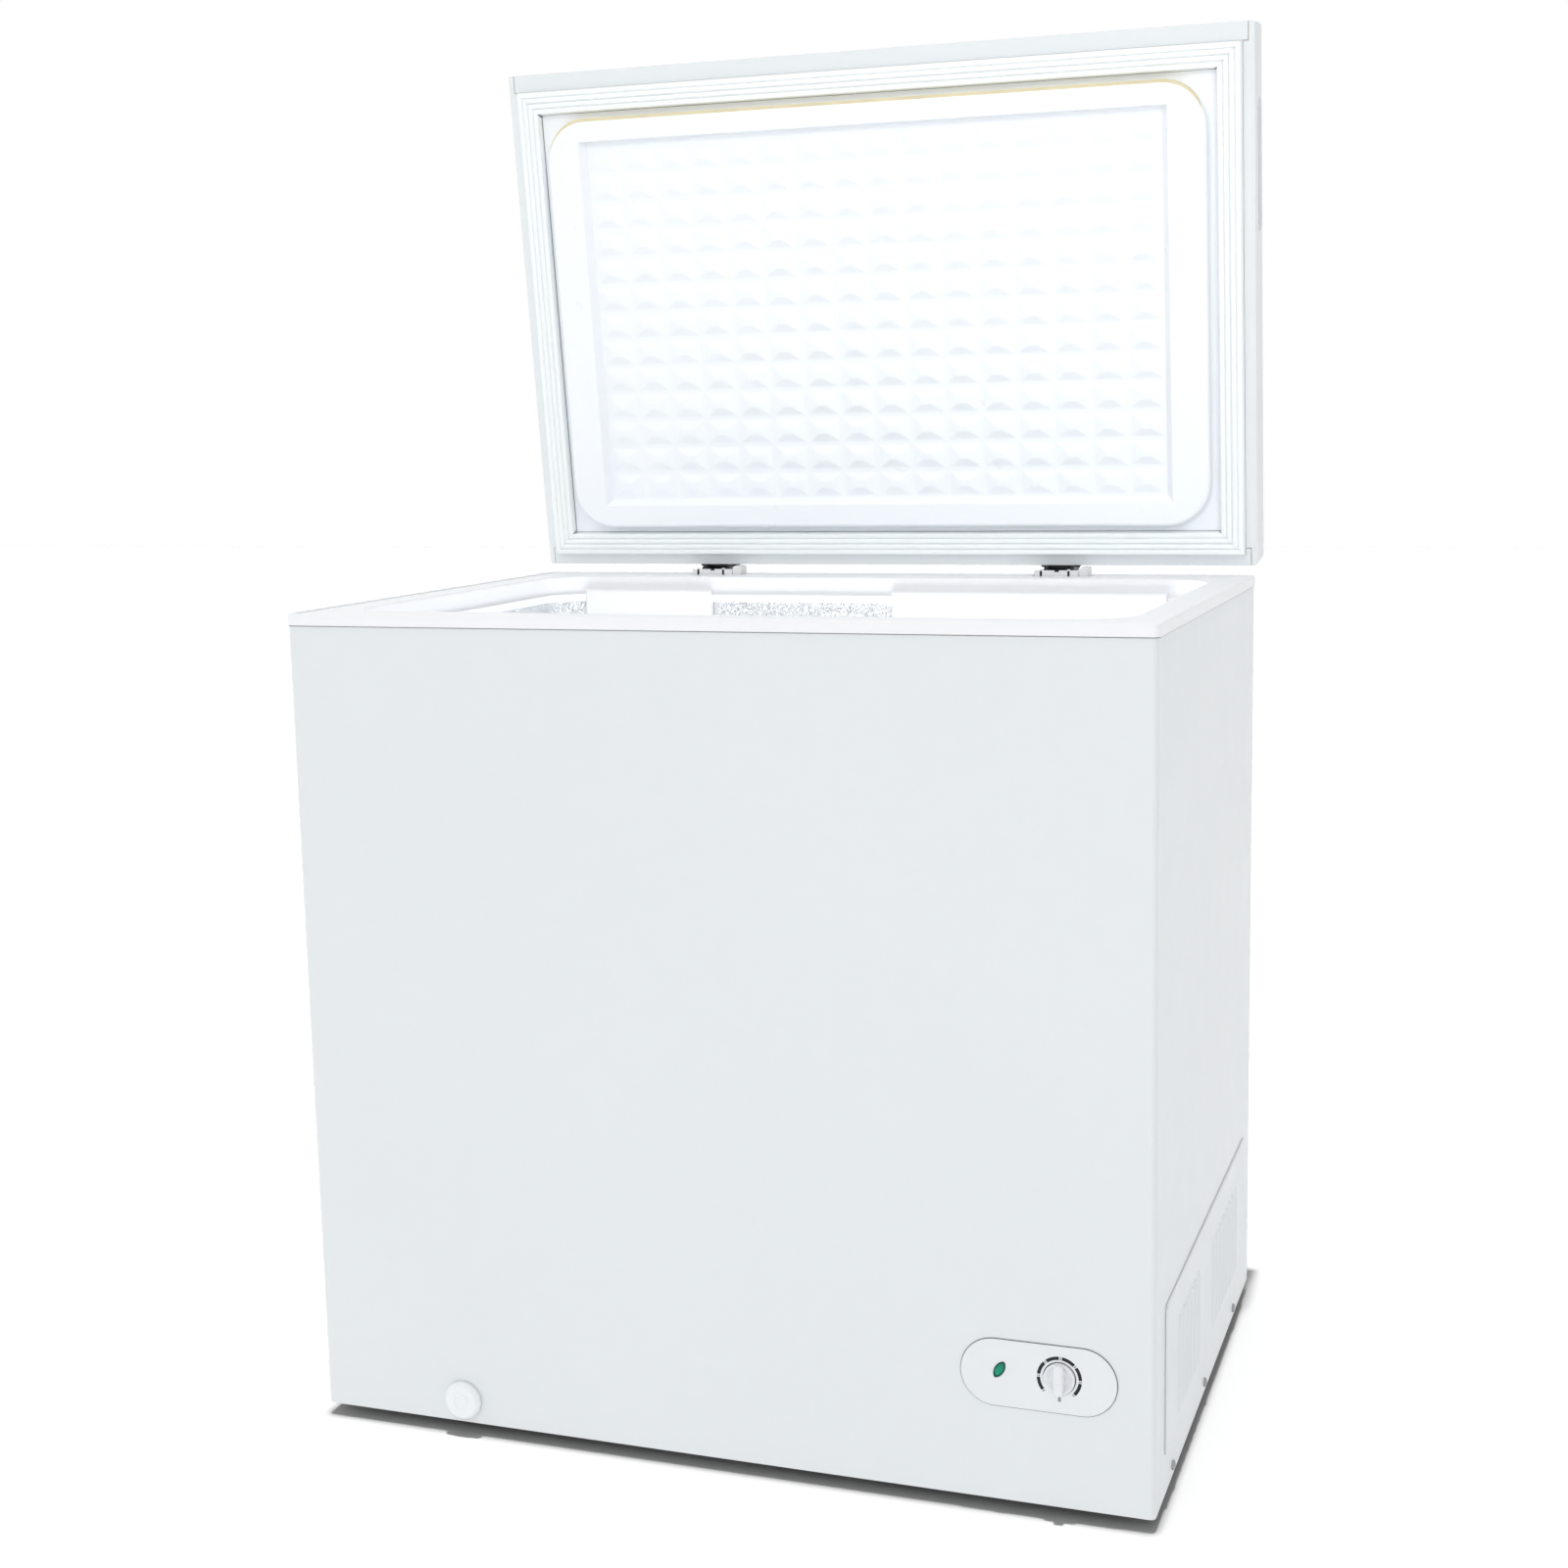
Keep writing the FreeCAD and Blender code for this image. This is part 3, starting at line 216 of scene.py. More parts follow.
def formedSheet(name, colour, roughness):
    made = Finish(name, colour, roughness, Specular_IOR_Level=0.5, Coat_Weight=0.25, Coat_Roughness=0.12)
    made.mottle(6.0, 0.006).sheen(40.0, 0.03)
    made.relief(made.noise(14.0, 1.0), 0.0004, 0.12)
    return made.relief(made.noise(700.0, 3.0), 0.00002, 0.4)


def stuccoAluminium(name, colour, roughness):
    made = Finish(name, colour, roughness, Metallic=1.0)
    made.mottle(5.0, 0.06).sheen(30.0, 0.06)
    ridge = made.add("ShaderNodeMath", {0: made.noise(210.0, 1.5, 0.5, 1.6), 1: 0.5}, operation="SUBTRACT")
    fold = made.add("ShaderNodeMath", {0: ridge.outputs[0]}, operation="ABSOLUTE")
    made.relief(made.range(fold.outputs[0], 0.0, 0.16, 1.0, 0.0), 0.0007, 0.9)
    return made.relief(made.noise(900.0, 2.0), 0.00004, 0.4)


def rolledSteel(name, colour, roughness, spangle=0.0):
    made = Finish(name, colour, roughness, Metallic=1.0)
    made.mottle(30.0, 0.12).sheen(90.0, 0.07)
    if spangle:
        cells = made.add("ShaderNodeTexVoronoi", {"Vector": made.place, "Scale": 95.0, "Randomness": 1.0})
        shade = made.range(cells.outputs["Color"], 0.0, 1.0, roughness - spangle, roughness + spangle)
        made.tree.links.new(shade, made.shader.inputs["Roughness"])
    return made.relief(made.noise(1100.0, 3.0), 0.00003, 0.5)


def castRubber(name, colour, roughness, drift=0.06, grain=0.00003):
    made = Finish(name, colour, roughness, Specular_IOR_Level=0.35)
    made.mottle(40.0, drift).sheen(120.0, drift)
    return made.relief(made.noise(1400.0, 4.0, 0.65), grain, 0.4)


def foamedIn(name, colour):
    made = Finish(name, colour, 0.85, Specular_IOR_Level=0.2)
    made.mottle(35.0, 0.12, detail=6.0)
    cells = made.add("ShaderNodeTexVoronoi", {"Vector": made.place, "Scale": 900.0})
    return made.relief(cells.outputs["Distance"], 0.0003, 0.6)


def enamelled(name, colour, roughness):
    made = Finish(name, colour, roughness, Coat_Weight=0.6, Coat_Roughness=0.15)
    made.mottle(20.0, 0.25).sheen(60.0, 0.08)
    return made.relief(made.noise(260.0, 3.0), 0.00012, 0.5)


def drawnCopper(name, colour, roughness):
    made = Finish(name, colour, roughness, Metallic=1.0)
    made.mottle(55.0, 0.3, tint=(0.42, 0.20, 0.12), detail=5.0).sheen(130.0, 0.1)
    return made.relief(made.noise(700.0, 3.0), 0.00003, 0.5)


def tintedLens(name, colour):
    made = Finish(name, colour, 0.3, Specular_IOR_Level=0.3, Coat_Weight=0.12, Coat_Roughness=0.1)
    made.mottle(300.0, 0.25)
    return made.relief(made.noise(420.0, 2.0), 0.0001, 0.4)


def printedInk(name, colour):
    made = Finish(name, colour, 0.42, Specular_IOR_Level=0.45)
    made.mottle(160.0, 0.2)
    return made.relief(made.noise(1800.0, 3.0), 0.00001, 0.4)


finishes = {
    "white_coated_steel": coatedSteel("whiteCoatedSteel", (0.775, 0.81, 0.83), 0.36),
    "grey_coated_steel": coatedSteel("greyCoatedSteel", (0.55, 0.57, 0.58), 0.42),
    "galvanised_steel": rolledSteel("galvanisedSteel", (0.60, 0.62, 0.63), 0.42, 0.12),
    "embossed_aluminium": stuccoAluminium("stuccoAluminium", (0.80, 0.82, 0.84), 0.34),
    "white_collar_plastic": mouldedPlastic("collarPlastic", (0.90, 0.91, 0.93), 0.33),
    "insulation_foam": foamedIn("foam", (0.86, 0.78, 0.52)),
    "aluminium_tube": rolledSteel("aluminiumTube", (0.76, 0.77, 0.78), 0.38),
    "copper": drawnCopper("copper", (0.86, 0.46, 0.30), 0.34),
    "black_enamel": enamelled("blackEnamel", (0.018, 0.018, 0.020), 0.32),
    "black_rubber": castRubber("blackRubber", (0.022, 0.022, 0.023), 0.62),
    "zinc_screws": rolledSteel("zincScrews", (0.40, 0.41, 0.43), 0.30),
    "dark_plastic": mouldedPlastic("darkPlastic", (0.03, 0.03, 0.033), 0.5, 0.00006),
    "panel_plastic": mouldedPlastic("panelPlastic", (0.80, 0.83, 0.845), 0.34),
    "knob_plastic": mouldedPlastic("knobPlastic", (0.80, 0.82, 0.85), 0.28),
    "green_lens": tintedLens("greenLens", (0.0, 0.31, 0.185)),
    "drain_plastic": mouldedPlastic("drainPlastic", (0.88, 0.905, 0.925), 0.30),
    # hinge steel and spring near black: painted shade for the shaded inside of each hinge; the spring is black
    # wire as well
    "hinge_steel": rolledSteel("hingeSteelPaintedShade", (0.10, 0.10, 0.11), 0.42),
    "spring_steel": rolledSteel("springSteelPaintedShade", (0.05, 0.05, 0.055), 0.45),
    "hinge_cover_plastic": mouldedPlastic("hingeCoverPlastic", (0.84, 0.85, 0.86), 0.30),
    "lid_liner_plastic": formedSheet("lidLinerPlastic", (0.87, 0.90, 0.935), 0.30),
    "seal_rubber": castRubber("sealRubber", (0.86, 0.89, 0.90), 0.48, 0.008, 0.000004),
    # grey for the dark strips under the collar's lip and along the lid seal's inner edge: painted shadow
    "seam_rubber": castRubber("paintedShadowGrey", (0.30, 0.31, 0.32), 0.6),
    "navy_ink": printedInk("navyInk", (0.001, 0.001, 0.014)),
    "lens_edge": tintedLens("lensEdge", (0.0, 0.075, 0.05)),
    "grey_ink": printedInk("greyInk", (0.30, 0.31, 0.35)),
}
slotOf = {part["node"]: part["material_slot"] for part in frame["record"]["subparts"]}
for name, piece in nodes.items():
    piece.data.materials.clear()
    piece.data.materials.append(finishes[slotOf[name]].material)
print("finishes made:", len(finishes))


# pieces are drawn in millimetres about the cabinet's middle on the floor, the lid's with the lid shut.
low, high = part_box("collar")
cabinetMiddle = Matrix.Translation(((low.x + high.x) / 2, (low.y + high.y) / 2, 0.0))
toFrame = cabinetMiddle @ Matrix.Scale(0.001, 4)
hingeLine = Vector(joints["lid_hinge"]["pos_m"])
openTurn = math.radians(max(joints["lid_hinge"]["range_deg"]))
lidSwing = (Matrix.Translation(hingeLine) @ Matrix.Rotation(-openTurn, 4, "X")
            @ Matrix.Translation(-hingeLine))


def addPiece(name, shape, slotName, body, swing=False, facing=None, crease=35.0, thickness=0.0):
    bmesh.ops.remove_doubles(shape, verts=shape.verts, dist=0.002)
    bmesh.ops.recalc_face_normals(shape, faces=shape.faces)
    if facing and sum(f.normal.dot(Vector(facing)) * f.calc_area() for f in shape.faces) < 0:
        bmesh.ops.reverse_faces(shape, faces=shape.faces)
    shape.transform(toFrame)
    if swing:
        shape.transform(lidSwing)
    mesh = bpy.data.meshes.new(name)
    shape.to_mesh(mesh)
    shape.free()
    mesh.materials.append(finishes[slotName].material)
    mesh.shade_smooth()
    mesh.set_sharp_from_angle(angle=math.radians(crease))
    piece = bpy.data.objects.new(name, mesh)
    bpy.context.scene.collection.objects.link(piece)
    if thickness:
        sheet = piece.modifiers.new("sheet", "SOLIDIFY")
        sheet.thickness = thickness
        sheet.offset = -1.0
    evened = piece.modifiers.new("evened", "WEIGHTED_NORMAL")
    evened.keep_sharp = True
    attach(piece, body)
    return piece


def roundedLoop(x0, x1, y0, y1, radius, z, columns=1, rows=1, arc=8):
    corners = [(x1 - radius, y0 + radius, -90), (x1 - radius, y1 - radius, 0),
               (x0 + radius, y1 - radius, 90), (x0 + radius, y0 + radius, 180)]
    points = []
    for i, (cx, cy, start) in enumerate(corners):
        for k in range(arc + 1):
            a = math.radians(start + 90.0 * k / arc)
            points.append(Vector((cx + radius * math.cos(a), cy + radius * math.sin(a), z)))
        nx, ny, turned = corners[(i + 1) % 4]
        a = math.radians(turned)
        end = Vector((nx + radius * math.cos(a), ny + radius * math.sin(a), z))
        here = points[-1]
        cuts = columns if i % 2 else rows
        points += [here.lerp(end, k / cuts) for k in range(1, cuts)]
    return points


def loftLoops(shape, loops, closeFirst=False, closeLast=False):
    rings = [[shape.verts.new(p) for p in loop] for loop in loops]
    for near, far in zip(rings, rings[1:]):
        for i in range(len(near)):
            j = (i + 1) % len(near)
            shape.faces.new((near[i], near[j], far[j], far[i]))
    if closeFirst:
        shape.faces.new(rings[0])
    if closeLast:
        shape.faces.new(rings[-1])
    return rings


def lathe(shape, profile, segments=96, closed=False):
    loops = []
    for radius, height in profile:
        loops.append([Vector((max(radius, 1e-4) * math.cos(2 * math.pi * i / segments), -height,
                              max(radius, 1e-4) * math.sin(2 * math.pi * i / segments)))
                      for i in range(segments)])
    if closed:
        loops.append([p.copy() for p in loops[0]])
    loftLoops(shape, loops)


def arcPoints(cx, cy, radius, start, end, steps):
    return [(cx + radius * math.cos(math.radians(start + (end - start) * i / steps)),
             cy + radius * math.sin(math.radians(start + (end - start) * i / steps)))
            for i in range(steps + 1)]


lid = {
    "halfWidth": 406.0,
    "front": -275.6,
    "rear": 266.4,
    "under": 791.0,         # the flange, with the lid shut
    "sideFlange": 11.5,
    "frontFlange": 18.0,
}


def insideFlange(gap):
    return (lid["halfWidth"] - lid["sideFlange"] - gap, lid["front"] + lid["frontFlange"] + gap,
            lid["rear"] - lid["sideFlange"] - gap)


# lid panel: one formed sheet with a plug, a sunken tray and a field of pyramids
lidPanel = {
    "plugHalfWidth": 360.0,
    "plugFront": -223.2,
    "plugRear": 222.4,
    "plugCorner": 45.0,
    "plugHeight": 17.0,
    "trayHalfWidth": 321.0,
    "trayFront": -200.6,
    "trayRear": 196.4,
    "trayDepth": 9.0,
    "trayDraft": 6.0,
    "columns": 16,
    "rows": 13,
    "stud": 3.8,            # height of a pyramid
    "valley": 2.6,          # half the flat strip between two pyramids
    "tip": 0.3,             # a pyramid's flat tip, as a share of its base
    "rounding": 1.5,        # on a pyramid's edges
    "thickness": 0.0012,    # metres
}


def pyramidCell(p, halfX, halfY):
    cell = bmesh.new()
    bx, by = halfX - p["valley"], halfY - p["valley"]
    squares = [(halfX, halfY, 0.0), (bx, by, 0.0), (bx * p["tip"], by * p["tip"], p["stud"])]
    rings = [[cell.verts.new((sx * a, sy * b, -h)) for sx, sy in ((-1, -1), (1, -1), (1, 1), (-1, 1))]
             for a, b, h in squares]
    for near, far in zip(rings, rings[1:]):
        for i in range(4):
            cell.faces.new((near[i], near[(i + 1) % 4], far[(i + 1) % 4], far[i]))
    cell.faces.new(rings[2])
    soft = [e for e in cell.edges if not any(v in rings[0] for v in e.verts)]
    bmesh.ops.bevel(cell, geom=soft, offset=p["rounding"], segments=3, profile=0.5, affect="EDGES",
                    clamp_overlap=True)
    return cell


def buildLidPanel(p):
    shape = bmesh.new()
    w, f, r = insideFlange(0.3)
    base = lid["under"] - 0.6
    front = lid["under"] - p["plugHeight"]
    floor = front + p["trayDepth"]
    cuts = {"columns": p["columns"], "rows": p["rows"]}

    def plug(grow, z):
        return roundedLoop(-p["plugHalfWidth"] - grow, p["plugHalfWidth"] + grow, p["plugFront"] - grow,
                           p["plugRear"] + grow, p["plugCorner"] + grow, z, **cuts)

    def tray(inset, z, radius=0.0):
        lean = inset / 6 if inset > 0 else inset        # the front wall is nearly upright
        return roundedLoop(-p["trayHalfWidth"] + inset, p["trayHalfWidth"] - inset,
                           p["trayFront"] + lean, p["trayRear"] - inset, radius, z, **cuts)

    loops = [roundedLoop(-w, w, f, r, 0.0, z, **cuts) for z in (base + 1.6, base)]
    loops.append(plug(5.0, base))
    loops += [plug(x, z) for x, z in arcPoints(4.6, base - 4.2, 4.2, 90, 176, 6)]
    loops += [plug(x, z) for x, z in arcPoints(-4.6, front + 4.6, 4.6, -4, -90, 7)]
    loops.append(tray(-2.2, front, 3.0))
    loops += [tray(-x, z, 1.2 + x) for x, z in arcPoints(1.4, front + 1.4, 1.4, -90, -165, 4)]
    inset = p["trayDraft"]
    loops += [tray(inset - 1.2, floor - 1.6, 0.9), tray(inset - 0.5, floor - 0.5, 0.5),
              tray(inset, floor, 0.0),
              roundedLoop(-p["trayHalfWidth"] + inset, p["trayHalfWidth"] - inset, p["trayFront"] + inset,
                          p["trayRear"] - inset, 0.0, floor, **cuts)]
    loftLoops(shape, loops)
    stepX = 2 * (p["trayHalfWidth"] - p["trayDraft"]) / p["columns"]
    stepY = (p["trayRear"] - p["trayFront"] - 2 * p["trayDraft"]) / p["rows"]
    cell = pyramidCell(p, stepX / 2, stepY / 2)
    for column in range(p["columns"]):
        for row in range(p["rows"]):
            at = Vector((-p["trayHalfWidth"] + p["trayDraft"] + stepX * (column + 0.5),
                         p["trayFront"] + p["trayDraft"] + stepY * (row + 0.5), floor))
            copies = {v: shape.verts.new(v.co + at) for v in cell.verts}
            for face in cell.faces:
                shape.faces.new([copies[v] for v in face.verts])
    cell.free()
    panel = addPiece("lid_panel", shape, "lid_liner_plastic", "lid", swing=True, facing=(0, 0, -1),
                     crease=50.0, thickness=p["thickness"])
    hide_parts("lid_liner")


buildLidPanel(lidPanel)
print("lid panel made")


# lid seal: four mitred lengths of a soft ribbed strip
lidSeal = {
    "width": 25.0,
    "height": 10.0,
    "web": 8.3,             # height between the ribs
    "ribs": 4,
    "ribTops": (9.4, 10.0, 10.0, 9.4),
    "mitreGap": 0.12,
    "tipGap": 2.0,          # the welded corners stop short at the inner edge
    "seam": 0.35,           # gap between the seal and the panel, which the dark strip of painted shadow reaches across
}


def sealProfile(p):
    pitch = (p["width"] - 1.4) / p["ribs"]
    outline = [(0.9, 0.0), (0.5, 1.2), (0.0, 3.0), (0.1, 5.2)]
    for i, top in enumerate(p["ribTops"]):
        for k in range(1, 12):
            s = 2.0 * k / 12 - 1.0
            height = p["web"] + (top - p["web"]) * (1 - abs(s) ** 3.2)
            outline.append((0.7 + pitch * (i + k / 12), height))
        if i < p["ribs"] - 1:
            outline.append((0.7 + pitch * (i + 1), p["web"] - 0.5))
    w = p["width"]
    return outline + [(w - 0.3, 5.6), (w, 3.4), (w - 0.2, 1.0), (w - 0.9, 0.0)]


def buildLidSeal(p):
    shape = bmesh.new()
    w, f, r = insideFlange(0.4)
    base = lid["under"] - 0.65
    corners = [(-w, f), (w, f), (w, r), (-w, r)]
    inward = [(0, 1), (-1, 0), (0, -1), (1, 0)]
    for i in range(4):
        (ax, ay), (bx, by) = corners[i], corners[(i + 1) % 4]
        nx, ny = inward[i]
        run = math.hypot(bx - ax, by - ay)
        tx, ty = (bx - ax) / run, (by - ay) / run
        ends = []
        for x, y, way in ((ax, ay, 1), (bx, by, -1)):
            ring = []
            for inset, height in sealProfile(p):
                back = inset + p["mitreGap"] + (p["tipGap"] if inset > p["width"] - 0.6 else 0.0)
                along = back * way
                ring.append(shape.verts.new((x + nx * inset + tx * along, y + ny * inset + ty * along,
                                             base - height)))
            ends.append(ring)
        count = len(ends[0])
        for k in range(count):
            j = (k + 1) % count
            shape.faces.new((ends[0][k], ends[0][j], ends[1][j], ends[1][k]))
        shape.faces.new(ends[0])
        shape.faces.new(ends[1])
    seal = addPiece("lid_seal", shape, "seal_rubber", "lid", swing=True, crease=40.0)
    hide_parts("lid_gasket")
    # dark strip along the seal's inner edge: painted shadow in the gap between the seal and the panel
    seam = bmesh.new()
    near, far = p["width"] - 0.4, p["width"] + p["seam"]
    steps = ((near, base), (near, base - 1.0), (far, base - 0.3), (far, base))
    loftLoops(seam, [roundedLoop(-w + i, w - i, f + i, r - i, 0.0, z) for i, z in steps])
    addPiece("lid_seal_seam", seam, "seam_rubber", "lid", swing=True, facing=(0, 0, -1))


buildLidSeal(lidSeal)
print("lid seal made")


# louvres: a pressed hood in front of each slot on the right side
louvres = {
    "rows": ((-155.0, 6), (40.0, 8)),   # where each group starts, and how many
    "pitch": 21.0,
    "slotHalf": 1.8,
    "middle": 103.0,                     # height of the slots' middle
    "halfHeight": 47.0,
    "halfWidth": 4.0,
    "rise": 2.2,
    "wall": 403.5,                       # the steel's outer face
}


def buildLouvres(p):
    shape = bmesh.new()
    for start, count in p["rows"]:
        for i in range(count):
            y = start + p["pitch"] * i - p["slotHalf"] - p["halfWidth"] + 0.6
            loops = []
            for t in (0.0, 0.18, 0.4, 0.62, 0.82, 0.96):
                half = p["halfWidth"] * (1.0 - t) + 0.15
                tall = p["halfHeight"] - p["halfWidth"] * 1.6 * t
                rise = p["rise"] * math.sin(t * math.pi / 2) - 0.02
                drift = (p["halfWidth"] - half) * 0.75
                loops.append([Vector((p["wall"] + rise, v.x, v.y)) for v in
                              roundedLoop(y + drift - half, y + drift + half, p["middle"] - tall,
                                          p["middle"] + tall, half * 0.98, 0.0, arc=6)])
            loftLoops(shape, loops, closeLast=True)
    addPiece("side_louvres", shape, "white_coated_steel", "cabinet", facing=(1, 0, 0), crease=60.0)


# rounded crest along the raised line that frames the louvres
sideCrest = {
    "x": 404.3,
    "front": -230.5,
    "rear": 236.0,
    "line": 183.5,
    "foot": 50.0,
    "halfWidth": 2.6,
    "rise": 1.3,
}


def buildSideCrest(p):
    shape = bmesh.new()
    half, rise = p["halfWidth"], p["rise"]
    section = [(-half, -0.1), (-half * 0.5, rise * 0.8), (0.0, rise), (half * 0.5, rise * 0.8), (half, -0.1)]
    line = [[Vector((p["x"] + up, y, p["line"] + across)) for across, up in section]
            for y in (p["front"], p["rear"])]
    post = [[Vector((p["x"] + up, p["front"] + across, z)) for across, up in section]
            for z in (p["foot"], p["line"])]
    for loops in (line, post):
        loftLoops(shape, loops, closeFirst=True, closeLast=True)
    addPiece("side_crest", shape, "white_coated_steel", "cabinet", facing=(1, 0, 0), crease=60.0)


buildLouvres(louvres)
buildSideCrest(sideCrest)
print("louvres made")


# control panel: bezel, printed scale, lens and dial
panelPlace = {
    "x": 302.0,
    "z": 128.6,
    "width": 138.0,
    "height": 61.0,
    "wall": 278.5,          # the steel's outer face, towards the front
    "rise": 1.6,
    "dialX": 320.8,
    "dialZ": 130.2,
    "dialRadius": 13.9,
    "lampX": 267.9,
    "lampZ": 131.8,
    "lampHalfLong": 8.2,
    "lampHalfWide": 4.3,
    "lampLean": 60.0,       # degrees
}


def onPanel(points, y):
    return [Vector((p.x, -y, p.y)) for p in points]


def stadium(p, inset, y, arc=24):
    halfW, halfH = p["width"] / 2 - inset, p["height"] / 2 - inset
    return onPanel(roundedLoop(p["x"] - halfW, p["x"] + halfW, p["z"] - halfH, p["z"] + halfH,
                               halfH - 0.01, 0.0, arc=arc), y)


def ringLoop(x, z, radius, y, count):
    return [Vector((x + radius * math.cos(2 * math.pi * i / count), -y,
                    z + radius * math.sin(2 * math.pi * i / count))) for i in range(count)]


def buildBezel(p):
    shape = bmesh.new()
    top = p["wall"] + p["rise"]
    steps = ((8.0, -8.0), (7.0, -8.0), (7.0, 0.1), (0.3, 0.1))
    loops = [stadium(p, inset, p["wall"] + y) for inset, y in steps]
    loops += [stadium(p, x, y) for x, y in arcPoints(1.2, top - 1.1, 1.1, 180, 90, 6)]
    loops.append(stadium(p, 2.2, top))
    rim = loftLoops(shape, loops)
    count = len(loops[0])
    well = [ringLoop(p["dialX"], p["dialZ"], r, y, count)
            for r, y in ((p["dialRadius"] + 1.0, top), (p["dialRadius"] + 0.75, top - 0.25),
                         (p["dialRadius"] + 0.6, top - 1.3), (5.2, top - 1.3), (5.0, p["wall"] - 1.0))]
    wellRings = loftLoops(shape, well)
    lens = [lensLoop(p, grow, top - drop, count) for grow, drop in ((1.045, 0.0), (1.03, 0.3), (1.03, 2.0))]
    lensRings = loftLoops(shape, lens)
    fillBetween(shape, [rim[-1], wellRings[0], lensRings[0]])
    bezel = addPiece("panel_bezel", shape, "panel_plastic", "cabinet", crease=35.0)
    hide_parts("control_bezel")
    # dark ring round the bezel's edge: painted shadow in the gap between the bezel and the steel
    gasket = bmesh.new()
    loftLoops(gasket, [stadium(p, inset, p["wall"] + y)
                       for inset, y in ((-0.4, -0.3), (-0.4, 0.35), (-0.2, 0.5), (0.9, 0.5), (0.9, -0.3))])
    addPiece("panel_gasket", gasket, "black_rubber", "cabinet", facing=(0, -1, 0))
    # dark ring at the bottom of the dial's well: painted shadow round the dial
    dialShadowRing = bmesh.new()
    loftLoops(dialShadowRing, [ringLoop(p["dialX"], p["dialZ"], p["dialRadius"] + r, top - 1.25 + y, 96)
                          for r, y in ((0.58, -0.1), (0.58, 0.0), (-2.0, 0.0), (-2.0, -0.1))])
    addPiece("panel_dial_gasket", dialShadowRing, "black_rubber", "cabinet", facing=(0, -1, 0))


def fillBetween(shape, rings):
    edges = []
    for ring in rings:
        for near, far in zip(ring, ring[1:] + ring[:1]):
            edges.append(shape.edges.get((near, far)))
    bmesh.ops.triangle_fill(shape, edges=edges, use_beauty=True)


def lensLoop(p, grow, y, count):
    lean = math.radians(p["lampLean"])
    points = []
    for i in range(count):
        a = 2 * math.pi * i / count
        u = p["lampHalfLong"] * grow * math.cos(a)
        v = p["lampHalfWide"] * grow * math.copysign(abs(math.sin(a)) ** 1.3, math.sin(a))
        points.append(Vector((p["lampX"] + u * math.cos(lean) - v * math.sin(lean), -y,
                              p["lampZ"] + u * math.sin(lean) + v * math.cos(lean))))
    return points


def buildLens(p):
    shape = bmesh.new()
    base = p["wall"] + 0.4
    domes = [(0.985, base - 3.4), (0.985, base + 0.7)]
    domes += [(0.985 * math.cos(a), base + 0.7 + 1.5 * math.sin(a))
              for a in [math.radians(8 * i) for i in range(1, 11)]]
    loftLoops(shape, [lensLoop(p, grow, y, 64) for grow, y in domes], closeFirst=True, closeLast=True)
    lens = addPiece("panel_lens", shape, "green_lens", "cabinet", crease=50.0)
    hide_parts("lamp_lens")
    edge = bmesh.new()
    steps = ((1.03, 1.2), (1.03, 2.0), (0.98, 2.3), (0.80, 2.45), (0.78, 1.2))
    loftLoops(edge, [lensLoop(p, grow, p["wall"] + y, 64) for grow, y in steps])
    addPiece("panel_lens_edge", edge, "lens_edge", "cabinet", facing=(0, -1, 0))


scaleMarks = {
    "radius": 18.3,
    "thickness": 3.0,
    "start": 218.0,         # degrees, anticlockwise from the right
    "sweep": 36.6,
    "pitch": 45.1,
    "count": 6,
    "proud": 0.06,
}


def arcPlate(shape, p, marks, middle, start, sweep, thickness, steps):
    top = p["wall"] + p["rise"]
    rows = []
    for i in range(steps + 1):
        a = math.radians(start - sweep * i / steps)
        row = []
        for r in (middle - thickness / 2, middle + thickness / 2):
            for y in (top - 0.05, top + marks["proud"]):
                row.append(shape.verts.new((p["dialX"] + r * math.cos(a), -y, p["dialZ"] + r * math.sin(a))))
        rows.append((row[0], row[1], row[3], row[2]))
    for near, far in zip(rows, rows[1:]):
        for k in range(4):
            shape.faces.new((near[k], near[(k + 1) % 4], far[(k + 1) % 4], far[k]))
    shape.faces.new(rows[0])
    shape.faces.new(rows[-1])


def buildScale(p, marks):
    bars, ticks = bmesh.new(), bmesh.new()
    for i in range(marks["count"]):
        arcPlate(bars, p, marks, marks["radius"], marks["start"] - marks["pitch"] * i, marks["sweep"],
                 marks["thickness"], 12)
    gap = marks["pitch"] - marks["sweep"]
    for i in range(marks["count"] + 1):
        middle = marks["start"] + gap / 2 - marks["pitch"] * i
        arcPlate(ticks, p, marks, marks["radius"], middle + 1.6, 3.2, marks["thickness"] * 0.9, 2)
    arcPlate(ticks, p, marks, marks["radius"] + 0.5, -86.2, 7.6, 4.2, 4)    # the rest mark under the dial
    addPiece("panel_scale_bars", bars, "navy_ink", "cabinet", crease=30.0)
    addPiece("panel_scale_ticks", ticks, "grey_ink", "cabinet", crease=30.0)


dial = {
    "rim": 4.4,             # heights off the steel
    "dish": 1.2,
    "bar": 9.0,
    "barHalfWidth": 4.8,
    "barHalfLength": 14.5,
}


